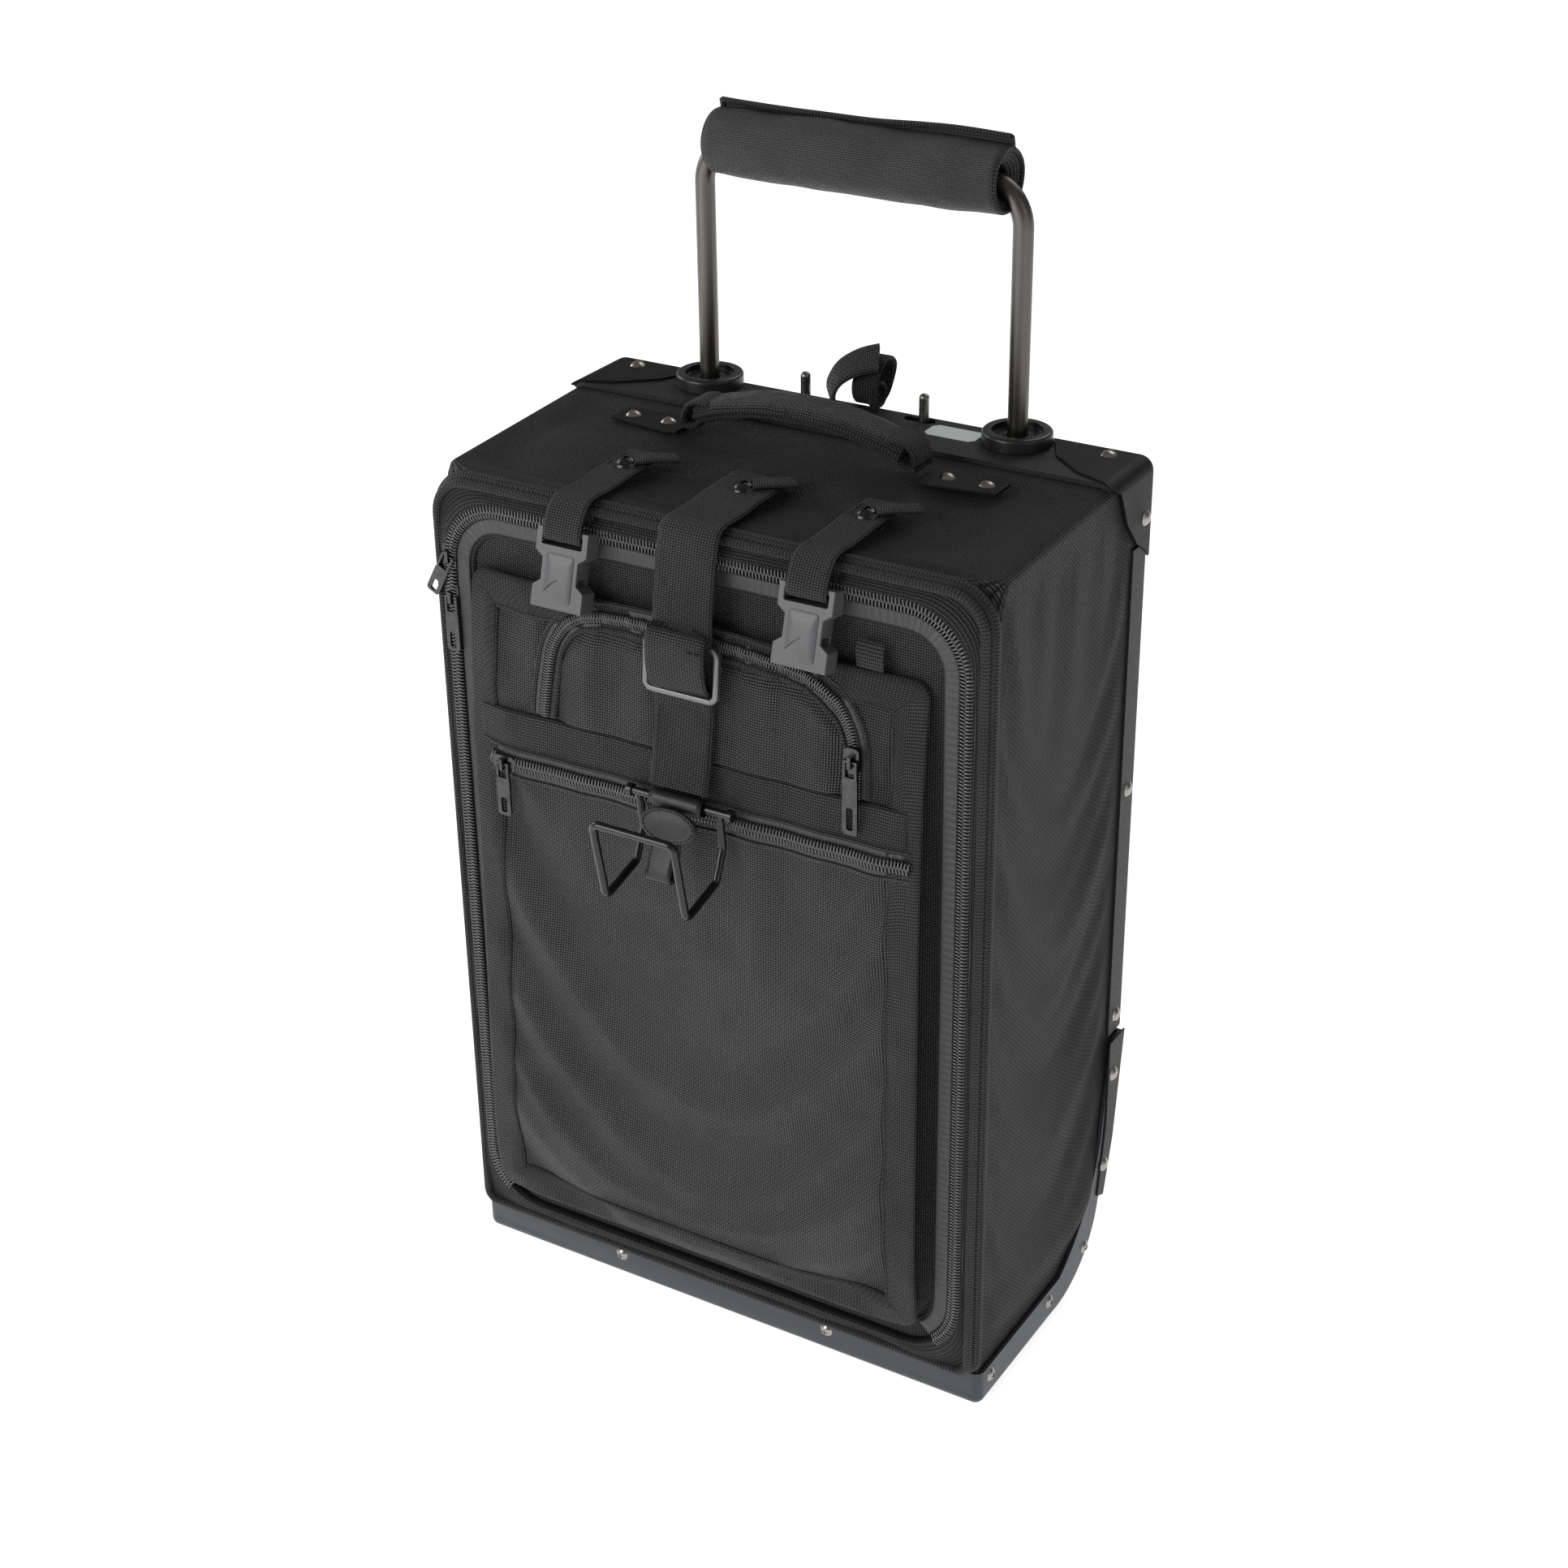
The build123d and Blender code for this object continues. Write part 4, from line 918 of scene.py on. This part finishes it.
# A closed profile of (side, lift) points carried along an (x, height) path on the pocket's face.
def onPocket(path, profile):
    profile = np.asarray(profile, float)
    profile = np.concatenate([profile, profile[:1]])
    ahead = np.gradient(path, axis=0)
    if np.allclose(path[0], path[-1]):
        ahead[0] = ahead[-1] = path[1] - path[-2]
    ahead /= np.linalg.norm(ahead, axis=1, keepdims=True)
    side = np.stack([ahead[:, 1], -ahead[:, 0]], -1)
    flat = path[:, None] + profile[None, :, :1] * side[:, None]
    depth = pocketDepth(flat[..., 0], flat[..., 1]) - profile[None, :, 1]
    points = np.stack([pocketAcross(flat[..., 0], flat[..., 1]), depth,
                       pocketShift(flat[..., 0], flat[..., 1])], -1)
    uv = np.stack(np.broadcast_arrays(lengthAlong(profile)[None, :], lengthAlong(path)[:, None]), -1)
    ends = [np.broadcast_to(points[i:i + 1, :-1].mean(1, keepdims=True), points[:1].shape)
            for i in (0, len(path) - 1)]
    points = np.concatenate([ends[0], points, ends[1]])
    uv = np.concatenate([uv[:1], uv, uv[-1:]])
    return points, uv


def onShiftedPocket(path, depth):
    return np.stack([pocketAcross(path[:, 0], path[:, 1]), depth, pocketShift(path[:, 0], path[:, 1])], -1)


def pocketLine3d(path, lift):
    return onShiftedPocket(path, pocketDepth(path[:, 0], path[:, 1]) - lift)


# The pocket's lower left part spreads a little to the left.
def pocketAcross(x, z):
    return x - 5.0 * soft(-x, 60, 147) * (1 - soft(z, 60, 330))


def pocketOutline(inset=0.0):
    return outlineLoop(pocket["halfWidth"], pocket["low"], pocket["high"], pocket["radius"], inset,
                       centre=pocket["middle"])


# Rows of (inset, share of the way down to the panel), then rows of (inset, lift)
bellowsRows = ((3.0, 0.0), (9.0, 0.35), (10.0, 0.55), (5.0, 0.8), (7.0, 1.0))
bindingRows = ((pocket["binding"], 0.1), (pocket["binding"] - 0.8, 1.0), (10.0, 1.2), (1.5, 1.2), (-0.6, 0.5),
               (-1.0, -0.8), (-0.4, -2.2), (2.0, -2.9), (9.0, -2.9), (9.6, -2.2))


# The face is a grid squeezed into a rounded rectangle. Its walls are a bellows fold down to the panel.
def makePocket():
    v = np.linspace(0, 1, 150)[:, None]
    u = np.linspace(-1, 1, 120)[None]
    z = pocket["low"] + (pocket["high"] - pocket["low"]) * v
    r = pocket["radius"]
    near = np.clip(np.minimum(z - pocket["low"], pocket["high"] - z), 0, r)
    x = pocket["middle"] + u * (pocket["halfWidth"] - r + np.sqrt(r ** 2 - (r - near) ** 2))
    z = z + 0 * x
    face = np.stack([pocketAcross(x, z), pocketDepth(x, z), pocketShift(x, z)], -1)
    gridPiece("pocketFace", face, face[..., [0, 2]], "ballisticNylon", "lid",
              thickness=1.8, flip=True)
    loops = []
    for inset, share in bellowsRows:
        loop = pocketOutline(inset)[0]
        top = pocketDepth(loop[:, 0], loop[:, 1]) + 1.9
        depth = top + (-6.9 - top) * share
        loops.append(onShiftedPocket(loop, depth))
    walls = np.stack(loops)
    around = lengthAlong(pocketOutline()[0])
    uv = np.stack([around[None] + 0 * walls[..., 0], np.arange(5)[:, None] * 6.0 + 0 * walls[..., 0]], -1)
    gridPiece("pocketBellows", walls, uv, "sideNylon", "lid", thickness=1.2)
    loops = []
    for inset, lift in bindingRows + bindingRows[:1]:
        loop = pocketOutline(inset)[0]
        lumps = 0.45 * ripples(loop[:, 0], loop[:, 1], 26, 8)
        depth = pocketDepth(loop[:, 0], loop[:, 1]) - lift - (lumps if lift > 0.9 else 0)
        loops.append(onShiftedPocket(loop, depth))
    binding = np.stack(loops)
    uv = np.stack([np.array([0, 1, 9, 17, 20, 21, 22, 25, 32, 33, 34])[:, None] + 0 * binding[..., 0],
                   around[None] + 0 * binding[..., 0]], -1)
    piece = gridPiece("pocketBinding", binding, uv, "bindingTape", "lid")
    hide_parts("front_pocket")
    loop = pocketOutline(pocket["binding"] - 2.0)[0]
    seam = resample(pocketLine3d(loop, 1.25), 900)
    stitchPiece("pocketBindingStitches", [seam], "lid", (0, -1, 0))


def makeBand():
    middle = (band["low"] + band["high"]) / 2
    path = np.stack([np.linspace(band["left"], band["right"], 110), np.full(110, middle)], -1)
    profile = stripProfile(band["high"] - band["low"], 1.6, 13) + (0, 0.9)
    points, uv = onPocket(path, profile)
    piece = gridPiece("pocketWebbing", points, uv, "strapWebbing", "lid")
    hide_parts("pocket_band")
    seams = [pocketLine3d(path + (0, offset), 1.75) for offset in (-10.2, 10.2)]
    stitchPiece("webbingStitches", seams, "lid", (0, -1, 0))


def makePocketZippers():
    path = np.stack([np.linspace(pocketZip["left"], pocketZip["right"], 160),
                     np.full(160, pocketZip["height"])], -1)
    arch = smoothLine(archLine, 260)
    for name, line, width, size in (("pocket", path, pocketZip["tape"], 1.0),
                                    ("arch", arch, archZip["tape"], archZip["size"])):
        points, uv = onPocket(line, stripProfile(2 * width, 1.0, 13) + (0, 0.5))
        piece = gridPiece(f"{name}ZipperTape", points, uv, "zipperTape", "lid")
        if name == "pocket":
            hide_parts("pocket_zippers")
        template = toothTemplate() * size
        spine = pocketLine3d(line, 1.2)
        for end, mirror, start in (("", 1, 0.5), ("Far", -1, 1.0)):
            row = repeated(spine, (0, -1, 0), pocketZip["pitch"] * size, template, mirror, start)
            gridPiece(f"{name}ZipperCoil{end}", row, np.zeros(2), "zipperCoil", "lid")
    for offset in (-8.6, 8.6):
        points, uv = onPocket(path + (0, offset), roundProfile(1.3, 10, 1.0) + (0, 0.8))
        gridPiece(f"pocketZipperFold{'Low' if offset < 0 else 'High'}", points, uv, "ballisticNylon", "lid")


# A patch from the webbing up to just inside the arched zipper, puffed in its middle.
def makeArchPocket():
    arch = smoothLine(archLine, 260)
    low = archZip["low"]
    inner = arch - archZip["inside"] * unitNormals(arch)
    inner = inner[inner[:, 1] > low + 0.5]
    u = np.linspace(inner[0, 0], inner[-1, 0], 90)
    order = np.argsort(inner[:, 0])
    top = np.interp(u, inner[order, 0], inner[order, 1])
    v = np.linspace(0, 1, 40)[:, None]
    x = u[None] + 0 * v
    z = low + (top[None] - low) * v
    away = np.minimum.reduce([top[None] - z, np.abs(x - u[0]), np.abs(u[-1] - x)])
    rise = 0.3 + 2.2 * soft(away, 0, 9) + 0.5 * ripples(x, z, 40, 77)
    points = np.stack([x, pocketDepth(x, z) - rise, pocketShift(x, z)], -1)
    piece = gridPiece("archPocketCloth", points, points[..., [0, 2]], "ballisticNylon", "lid",
                      thickness=1.2, flip=True)
    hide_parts("arch_pocket")
    path = arch - archZip["tape"] * unitNormals(arch)
    points, uv = onPocket(path[path[:, 1] > low], roundProfile(1.4, 10, 1.2) + (0, 1.2))
    gridPiece("archPocketCord", points, uv, "bindingTape", "lid")
    path = arch + archZip["inside"] * unitNormals(arch)
    points, uv = onPocket(path[path[:, 1] > low], roundProfile(1.4, 10, 1.0) + (0, 0.7))
    gridPiece("archZipperFold", points, uv, "ballisticNylon", "lid")


# Directions to the left of a path in its plane, which point outwards on the arch.
def unitNormals(path):
    ahead = np.gradient(path, axis=0)
    ahead /= np.linalg.norm(ahead, axis=1, keepdims=True)
    return np.stack([-ahead[:, 1], ahead[:, 0]], -1)


makeTub()
makeGusset()
makePiping()
makeMainZipper()
print("the tub, its front edge and the main zipper are made")
makeLid()
makePocket()
makeBand()
makePocketZippers()
makeArchPocket()
print("the front panel and its pocket are made")


# Straps
strap = {"side": 25.0, "centre": 38.0, "thick": 1.7, "centreThick": 2.2, "reach": 76.2}
sideStrapLine = ((62, 533.0), (48, 533.0), (41, 532.9), (30, 532.8), (14, 531.6), (2, 531.4), (-6, 531.8),
                 (-12.5, 530.6), (-17.6, 526), (-20.9, 520), (-22.7, 514.5), (-22.4, 510.6), (-18.5, 508.7),
                 (-13.8, 509.8), (-10.6, 514), (-9.6, 519), (-9.8, 523))
middleStrapLine = ((62, 533.0), (48, 533.0), (41, 532.9), (30, 532.8), (14, 531.6), (0, 531.6), (-7, 531.8),
                   (-13, 529.4), (-16.5, 522), (-20.5, 500), (-23.0, 482), (-23.6, 472), (-23.2, 460),
                   (-22.6, 445), (-22.8, 432), (-25.0, 415), (-28.0, 400), (-31.0, 388), (-32.4, 383.5))
foldLine = ((-24.2, 462), (-25.6, 470), (-28.0, 474.8), (-31.0, 473.0), (-32.2, 466), (-31.8, 455),
            (-30.0, 446.5), (-26.4, 441), (-24.4, 437), (-24.6, 431))


def strapPath(line, x, count=260):
    flat = smoothLine(line, count)
    return np.stack([np.full(count, x), flat[:, 0], flat[:, 1]], -1)


# A woven strip whose edges stand a little thicker and whose line waves slightly, as a worn strap does.
def strapLoops(path, width, thickness, sway):
    profile = stripProfile(width, thickness, 15)
    edge = 1 + 0.22 * soft(np.abs(profile[:, 0]), width / 2 - 4, width / 2 - 2.5)
    profile = profile * np.stack([np.ones(len(edge)), edge], -1)
    run = lengthAlong(path)
    wander = sway * ripples(run, 0 * run, 60, 3 + len(path))
    path = path + np.stack([wander, 0 * run, 0 * run], -1)
    path[:, 0] = path[:, 0] - wander[0]
    return carried(path, profile, (1e-6, -0.7071, 0.7071))


def makeStraps():
    for side, sign in (("left", -1), ("right", 1)):
        x = sign * strap["reach"]
        path = strapPath(sideStrapLine, x)
        points, uv = strapLoops(path, strap["side"], strap["thick"], 0.25)
        piece = gridPiece(f"strapWeb{side.title()}", points, uv, "strapWebbing", None)
        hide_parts(f"strap_web_{side}")
        if side == "left":
            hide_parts("strap_anchors")
        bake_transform(piece)
        tailOf(side.title(), x)
        seams = [path[18:60] + (0, 0, 0.9) + (offset, 0, 0) for offset in (-9.5, 9.5)]
        stitchPiece(f"strapStitches{side.title()}", seams, "case", (0, 0, 1))
    path = strapPath(middleStrapLine, 0.0, 420)
    points, uv = strapLoops(path, strap["centre"], strap["centreThick"], 0.3)
    piece = gridPiece("strapWebCentre", points, uv, "strapWebbing", None)
    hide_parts("strap_web_centre")
    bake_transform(piece)
    tailOf("Centre", 0.0)
    fold = strapPath(foldLine, 0.0, 160)
    points, uv = strapLoops(fold, strap["centre"], strap["centreThick"], 0.2)
    gridPiece("strapFoldCentre", points, uv, "strapWebbing", "strap_centre")
    lower = path[path[:, 2] < 428]
    seams = [resample(lower + (offset, -1.2, 0), 200) for offset in (-16.4, 16.4)]
    stitchPiece("strapStitchesCentre", seams, "strap_centre", (0, -1, 0))


# The cut end of the strap, folded under and lying askew beside the screw.
def tailOf(name, x):
    path = smoothLine([(x + 4, 44, 535.4), (x + 11, 48, 536.4), (x + 18, 53, 536.2), (x + 23, 58, 535.4)], 24)
    points, uv = carried(path, stripProfile(13, 2.6, 9), (0, 0, 1))
    gridPiece(f"strapTail{name}", points, uv, "strapWebbing", "case")


# Carry handle, grip and cable strap
carry = {"depth": 105.0, "reach": 66.0, "width": 25.0, "thick": 12.5, "high": 560.0, "foot": 547.5,
         "count": 120}
carryEndLine = ((57, 553.4), (64, 553.6), (70.5, 551.0), (74.0, 545.0), (74.4, 539.4), (71.5, 538.4),
                (67, 539.2), (62, 543.4), (57, 546.4))


# A padded fabric bar that arches up, flat underneath and crowned on top, with piped edges.
def makeCarryHandle():
    t = np.linspace(-1, 1, carry["count"])
    taper = 0.80 + 0.2 * (1 - np.abs(t) ** 4)
    x = t * carry["reach"]
    height = carry["foot"] + (carry["high"] - carry["foot"]) * (1 - np.abs(t) ** 2.2) - 2.0
    path = np.stack([x, 0 * x + carry["depth"], height], -1)
    turn = np.linspace(0, 2 * np.pi, 40, endpoint=False)
    profile = np.stack([0.5 * carry["width"] * np.sign(np.cos(turn)) * np.abs(np.cos(turn)) ** 0.55,
                        0.5 * carry["thick"] * np.sign(np.sin(turn)) * np.abs(np.sin(turn)) ** 0.8], -1)
    points, uv = carried(path, profile, (0, 0, 1), widths=taper)
    folds = 0.5 * ripples(points[..., 0], points[..., 1] * 2, 16, 12)
    points = points + np.stack([0 * folds, 0 * folds, folds * (points[..., 2] > height.min())], -1)
    piece = gridPiece("carryHandlePad", points, uv, "ballisticNylon", "carry")
    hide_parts("carry_handle")
    for number, side in enumerate((-1, 1)):
        edge = path + np.stack([0 * t, side * 0.5 * carry["width"] * taper, 0 * t], -1)
        points, uv = carried(edge, roundProfile(1.5, 10), (0, 0, 1))
        gridPiece(f"carryHandleCord{number + 1}", points, uv, "bindingTape", "carry")
    for number, side in enumerate((-1, 1)):
        line = [(side * across, carry["depth"], height) for across, height in carryEndLine]
        points, uv = carried(smoothLine(line, 60), stripProfile(22, 3.2, 11), (0, 1e-6, 1))
        gridPiece(f"carryHandleEnd{number + 1}", points, uv, "strapWebbing", "carry")


grip = {"depth": 167.0, "height": 683.0, "radius": 18.2, "half": 90.5, "flapTip": 708.5,
        "turns": (72, -290), "flapSteps": 13, "endSteps": 61}
gripEndRows = ((17.6, 84.0), (17.6, 89.6), (16.6, 90.6), (14.0, 90.2), (11.0, 88.6), (8.2, 86.5), (8.0, 80.0))


# A fabric roll closed round the foam: it starts under the lap at the back top and its flap stands up.
def makeGrip():
    turn = np.radians(np.linspace(*grip["turns"], 80))
    x = np.linspace(-grip["half"], grip["half"], 60)
    a, u = np.meshgrid(turn, x, indexing="ij")
    squeeze = 0.9 * ripples(u, np.degrees(a) * 0.3, 48, 9) + 0.5 * ripples(u, np.degrees(a) * 0.3, 17, 10)
    dent = -0.8 * soft(np.abs(u), 60, 90)
    radius = grip["radius"] + squeeze * 0.55 + dent - 0.5
    depth = grip["depth"] + radius * np.cos(a)
    height = grip["height"] + radius * np.sin(a)
    flapShare = np.linspace(0, 1, grip["flapSteps"] + 1)[1:, None]
    tipDepth = grip["depth"] + 3.5 + 1.2 * ripples(x, 0 * x, 70, 22)
    tipHeight = grip["flapTip"] - 1.5 - 1.6 + 1.4 * ripples(x, 0 * x, 90, 23)
    flapDepth = depth[:1] + (tipDepth - depth[:1]) * flapShare
    flapHeight = height[:1] + (tipHeight - height[:1]) * flapShare
    flapHeight = flapHeight + 1.2 * np.sin(np.pi * flapShare)
    outer = np.stack([np.concatenate([u[:1].repeat(grip["flapSteps"], 0), u]),
                      np.concatenate([flapDepth[::-1], depth]),
                      np.concatenate([flapHeight[::-1], height])], -1)
    uv = np.stack([outer[..., 0], lengthAlong(outer[:, 30])[:, None] + 0 * outer[..., 0]], -1)
    piece = gridPiece("gripWrapCloth", outer, uv, "gripMesh", "handle", thickness=1.7)
    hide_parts("grip_wrap")
    for number, column in enumerate((0, -1)):
        line = resample(outer[:, column], 200)
        points, uv = carried(line, roundProfile(1.5, 10, 1.9), (1, 0, 0))
        gridPiece(f"gripBinding{number + 1}", points, uv, "bindingTape", "handle")
    turn = np.linspace(0, 2 * np.pi, grip["endSteps"])
    for number, side in enumerate((-1, 1)):
        rings = np.stack([np.stack([0 * turn + side * across, grip["depth"] + radius * np.cos(turn),
                                    grip["height"] + radius * np.sin(turn)], -1)
                          for radius, across in gripEndRows + gripEndRows[:1]])
        uv = np.stack([turn[None] * 14 + 0 * rings[..., 0],
                       np.arange(8)[:, None] * 3.0 + 0 * rings[..., 0]], -1)
        gridPiece(f"gripEnd{number + 1}", rings, uv, "bindingTape", "handle")
    line = resample(outer[0], 160)
    points, uv = carried(line, roundProfile(1.5, 10, 1.9), (0, -1, 0))
    gridPiece("gripBindingFlap", points, uv, "bindingTape", "handle")


cable = {"middle": (182, 552.6), "reach": (10.6, 14.2), "rail": 538.3}
cableFlapLine = ((-24, 176, 540), (-21.5, 173.5, 548), (-15, 172, 557), (-4, 172.5, 564.5), (8.5, 174.5, 569))


# A strap loop standing on the rail: a ring of tape, a keeper round it and a loose end that rises over it.
def makeCableStrap():
    turn = np.radians(np.linspace(-92, 268, 90))
    outward = np.stack([0 * turn, np.cos(turn), np.sin(turn)], -1)
    wide, tall = cable["reach"]
    ring = np.stack([1.5 + 3 * np.sin(turn),
                     cable["middle"][0] + (wide - 0.8 * np.cos(3 * turn)) * np.cos(turn),
                     cable["middle"][1] + tall * np.sin(turn)], -1)
    ring[:, 2] = np.maximum(ring[:, 2], cable["rail"])
    points, uv = carried(ring, stripProfile(16, 2.2, 13), outward)
    piece = gridPiece("cableStrapLoop", points, uv, "strapWebbing", "case")
    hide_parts("cable_strap")
    points, uv = carried(smoothLine(cableFlapLine, 60), stripProfile(19, 2.2, 11), (-0.4, -0.7, 0.55))
    gridPiece("cableStrapFlap", points, uv, "strapWebbing", "case")
    turn = np.linspace(0, 2 * np.pi, 40)
    keeper = np.stack([np.full(40, 5.5), 178 + 6.6 * np.cos(turn), 545.5 + 7.2 * np.sin(turn)], -1)
    outward = np.stack([0 * turn, np.cos(turn), np.sin(turn)], -1)
    points, uv = carried(keeper, stripProfile(6.5, 1.6, 7), outward)
    gridPiece("cableStrapKeeper", points, uv, "strapWebbing", "case")


sleeve = {"middle": (-32.5, 376), "radius": 4.6, "width": 34, "count": 70}
tab = {"centre": (-0.5, -42.0, 365.6), "reach": (18.5, 9.8), "lean": 0.33}
tabRows = ((0.0, -0.4), (0.6, -0.4), (0.97, -0.3), (1.0, 0.5), (0.985, 1.3), (0.93, 1.9), (0.85, 2.0),
           (0.8, 1.7), (0.7, 2.1), (0.35, 2.6), (0.0, 2.7))     # share of the reach, lift
leatherLoopLine = ((-37, 372), (-41, 362), (-46, 350), (-50.5, 340), (-50.8, 335.5), (-48.2, 333.6),
                   (-45.5, 335.5), (-42, 345), (-38.5, 358), (-35.5, 369))


# The sleeve folded round the hook's wire, an oval tab stitched on it and a folded loop below.
def makeLeather():
    turn = np.radians(np.linspace(70, 428, sleeve["count"]))
    roll = np.stack([0 * turn, sleeve["middle"][0] - sleeve["radius"] * np.sin(turn + np.pi),
                     sleeve["middle"][1] + sleeve["radius"] * np.cos(turn)], -1)
    outward = np.stack([0 * turn, np.sin(turn), np.cos(turn)], -1)
    points, uv = carried(roll, stripProfile(sleeve["width"], 1.2, 13), outward)
    piece = gridPiece("leatherSleeve", points, uv, "blackLeather", "strap_centre")
    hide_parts("leather_sleeve")
    angles = np.linspace(0, 2 * np.pi, 73)
    points = np.stack([tabPoint(share * np.cos(angles), share * np.sin(angles), lift)
                       for share, lift in tabRows])
    piece = gridPiece("leatherTab", points, points[..., [0, 2]], "blackLeather", "strap_centre")
    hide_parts("leather_tabs")
    rim = tabPoint(0.86 * np.cos(angles), 0.86 * np.sin(angles), 2.15)
    stitchPiece("leatherTabStitches", [resample(rim, 300)], "strap_centre", (0, -0.95, 0.31),
                length=1.7, pitch=2.5, radius=0.34)
    path = strapPath(leatherLoopLine, -3.0, 90)
    points, uv = carried(path, stripProfile(17, 1.8, 11), (0, -1, 0.05))
    gridPiece("leatherLoop", points, uv, "blackLeather", "strap_centre")
    seams = [resample(path[8:40] + (offset, -1.0, 0), 120) for offset in (-6.8, 6.8)]
    stitchPiece("leatherLoopStitches", seams, "strap_centre", (0, -1, 0), length=1.5, pitch=2.2,
                radius=0.3)


# A point on the oval tab: shares of its reach across and up its lean, and a lift off its face.
def tabPoint(across, up, lift):
    normal = np.array((0, -1, tab["lean"])) / np.hypot(1, tab["lean"])
    rise = np.array((0, tab["lean"], 1)) / np.hypot(1, tab["lean"])
    flat = (np.asarray(tab["centre"]) + np.multiply.outer(across * tab["reach"][0], (1, 0, 0))
            + np.multiply.outer(up * tab["reach"][1], rise))
    return flat + lift * normal


# A plain folded tag sewn at the pocket's upper right corner.
def makeTag():
    u, v = np.meshgrid(np.linspace(101, 117, 14), np.linspace(474, 489, 12), indexing="ij")
    lift = 12.2 + 1.2 * np.sin((v - 474) / 15 * np.pi) + 0.04 * (u - 101)
    points = np.stack([u, -lift - (489 - v) * 0.07, v], -1)
    gridPiece("pocketTag", points, points[..., [0, 2]], "bindingTape", "lid", thickness=0.8,
              flip=True)


bucklePanel = {"tilt": 15, "middle": (-15.5, 514.8), "drop": 27.0, "tall": 1.5, "corner": 2.2, "points": 245,
               "rows": ((9.0, 5.5), (9.0, 6.3), (8.4, 6.7), (4.0, 6.9))}     # half width, lift


# A raised panel with softened edges on each buckle's face, in the buckle's own tilt. Each outline stops
# at its 245th point, so the panel's lower left is open.
def makeBucklePanels():
    tilt = np.radians(bucklePanel["tilt"])
    down = np.array((0, -np.sin(tilt), -np.cos(tilt)))
    out = np.array((0, -np.cos(tilt), np.sin(tilt)))
    for side, sign in (("left", -1), ("right", 1)):
        origin = np.array((sign * strap["reach"], *bucklePanel["middle"]))
        loops = []
        for half, lift in bucklePanel["rows"]:
            tall = bucklePanel["tall"] * half
            loop = outlineLoop(half, -tall, tall, bucklePanel["corner"])[0, :bucklePanel["points"]]
            fall = bucklePanel["drop"] - loop[:, 1:]
            loops.append(origin + loop[:, :1] * (1, 0, 0) + fall * down + lift * out)
        top = origin + bucklePanel["drop"] * down + lift * out
        points = np.stack([0 * loops[0] + loops[0].mean(0), *loops, 0 * loops[0] + top])
        gridPiece(f"bucklePanel{side.title()}", points, points[..., [0, 2]], "bucklePlastic", f"strap_{side}",
                  sharp=40)


makeStraps()
makeBucklePanels()
makeCarryHandle()
makeGrip()
makeCableStrap()
makeLeather()
makeTag()
print("straps, handles and leather are made")


# Metal, plastic and rubber parts
finishes = {
    "base_pan": ("basePlastic", "base_plastic", "case", 1.2),
    "front_feet": ("basePlastic", "base_plastic", "case", 1.2),
    "wheel_housings": ("basePlastic", "base_plastic", "case", 0.6),
    "top_rail": ("wrinkleCoat", "frame_coating", "case", 0.9),
    "side_rail_left": ("wrinkleCoat", "frame_coating", "case", 0.5),
    "side_rail_right": ("wrinkleCoat", "frame_coating", "case", 0.5),
    "wheel_brackets": ("wrinkleCoat", "frame_coating", "case", 0.5),
    "latch_channel": ("wrinkleCoat", "frame_coating", "case", 0.4),
    "corner_guard_left": ("guardCoat", "guard_coating", "case", 0.5),
    "corner_guard_right": ("guardCoat", "guard_coating", "case", 0.5),
    "carry_plates": ("guardCoat", "guard_coating", "case", 0.5),
    "grommets": ("grommetPlastic", "grommet_plastic", "case", 1.0),
    "buckle_left": ("bucklePlastic", "buckle_plastic", "strap_left", 1.1),
    "buckle_right": ("bucklePlastic", "buckle_plastic", "strap_right", 1.1),
    "label_plate": ("plainLabel", "plain_label", "case", 0.1),
    "tyre_left": ("tyreUrethane", "tyre", "wheel_left", 1.2),
    "tyre_right": ("tyreUrethane", "tyre", "wheel_right", 1.2),
    "wheel_hub_left": ("hubPlastic", "hub_plastic", "wheel_left", 0.5),
    "wheel_hub_right": ("hubPlastic", "hub_plastic", "wheel_right", 0.5),
    "back_panel": ("sideNylon", "ballistic_fabric", "case", 1.0),
}
keptFinishes = {
    "handle_tube": ("tubeMetal", "tube_metal"), "guide_tubes": ("tubeMetal", "tube_metal"),
    "rod_glides": ("grommetPlastic", "grommet_plastic"), "rivets": ("blackNickel", "fastener_metal"),
    "pan_screws": ("blackNickel", "fastener_metal"), "grommet_screws": ("gunmetal", "fastener_metal"),
    "strap_screws": ("gunmetal", "fastener_metal"), "cup_washers": ("glossBlack", "fastener_metal"),
    "wheel_axles": ("blackNickel", "fastener_metal"), "release_pin_left": ("pinNickel", "latch_steel"),
    "release_pin_right": ("pinNickel", "latch_steel"), "tri_glide": ("glideMetal", "glide_metal"),
    "hook_wire": ("glossBlack", "hook_gloss"), "grip_foam": ("handleFoam", "grip_rubber"),
    "slider_main_upper": ("gunmetal", "slider_metal"), "slider_main_lower": ("gunmetal", "slider_metal"),
    "slider_pocket": ("gunmetal", "slider_metal"), "slider_arch": ("gunmetal", "slider_metal"),
    "pull_main_upper": ("gunmetal", "slider_metal"), "pull_main_lower": ("gunmetal", "slider_metal"),
    "pull_pocket": ("gunmetal", "slider_metal"), "pull_arch": ("gunmetal", "slider_metal"),
}


def camel(node):
    first, *rest = node.split("_")
    return first + "".join(part.title() for part in rest)


for node, (material, slot, body, width) in finishes.items():
    refined(camel(node) + "Part", node, body, material, width)
for node, (material, slot) in keptFinishes.items():
    dress(node, material)
print("hardware is finished")
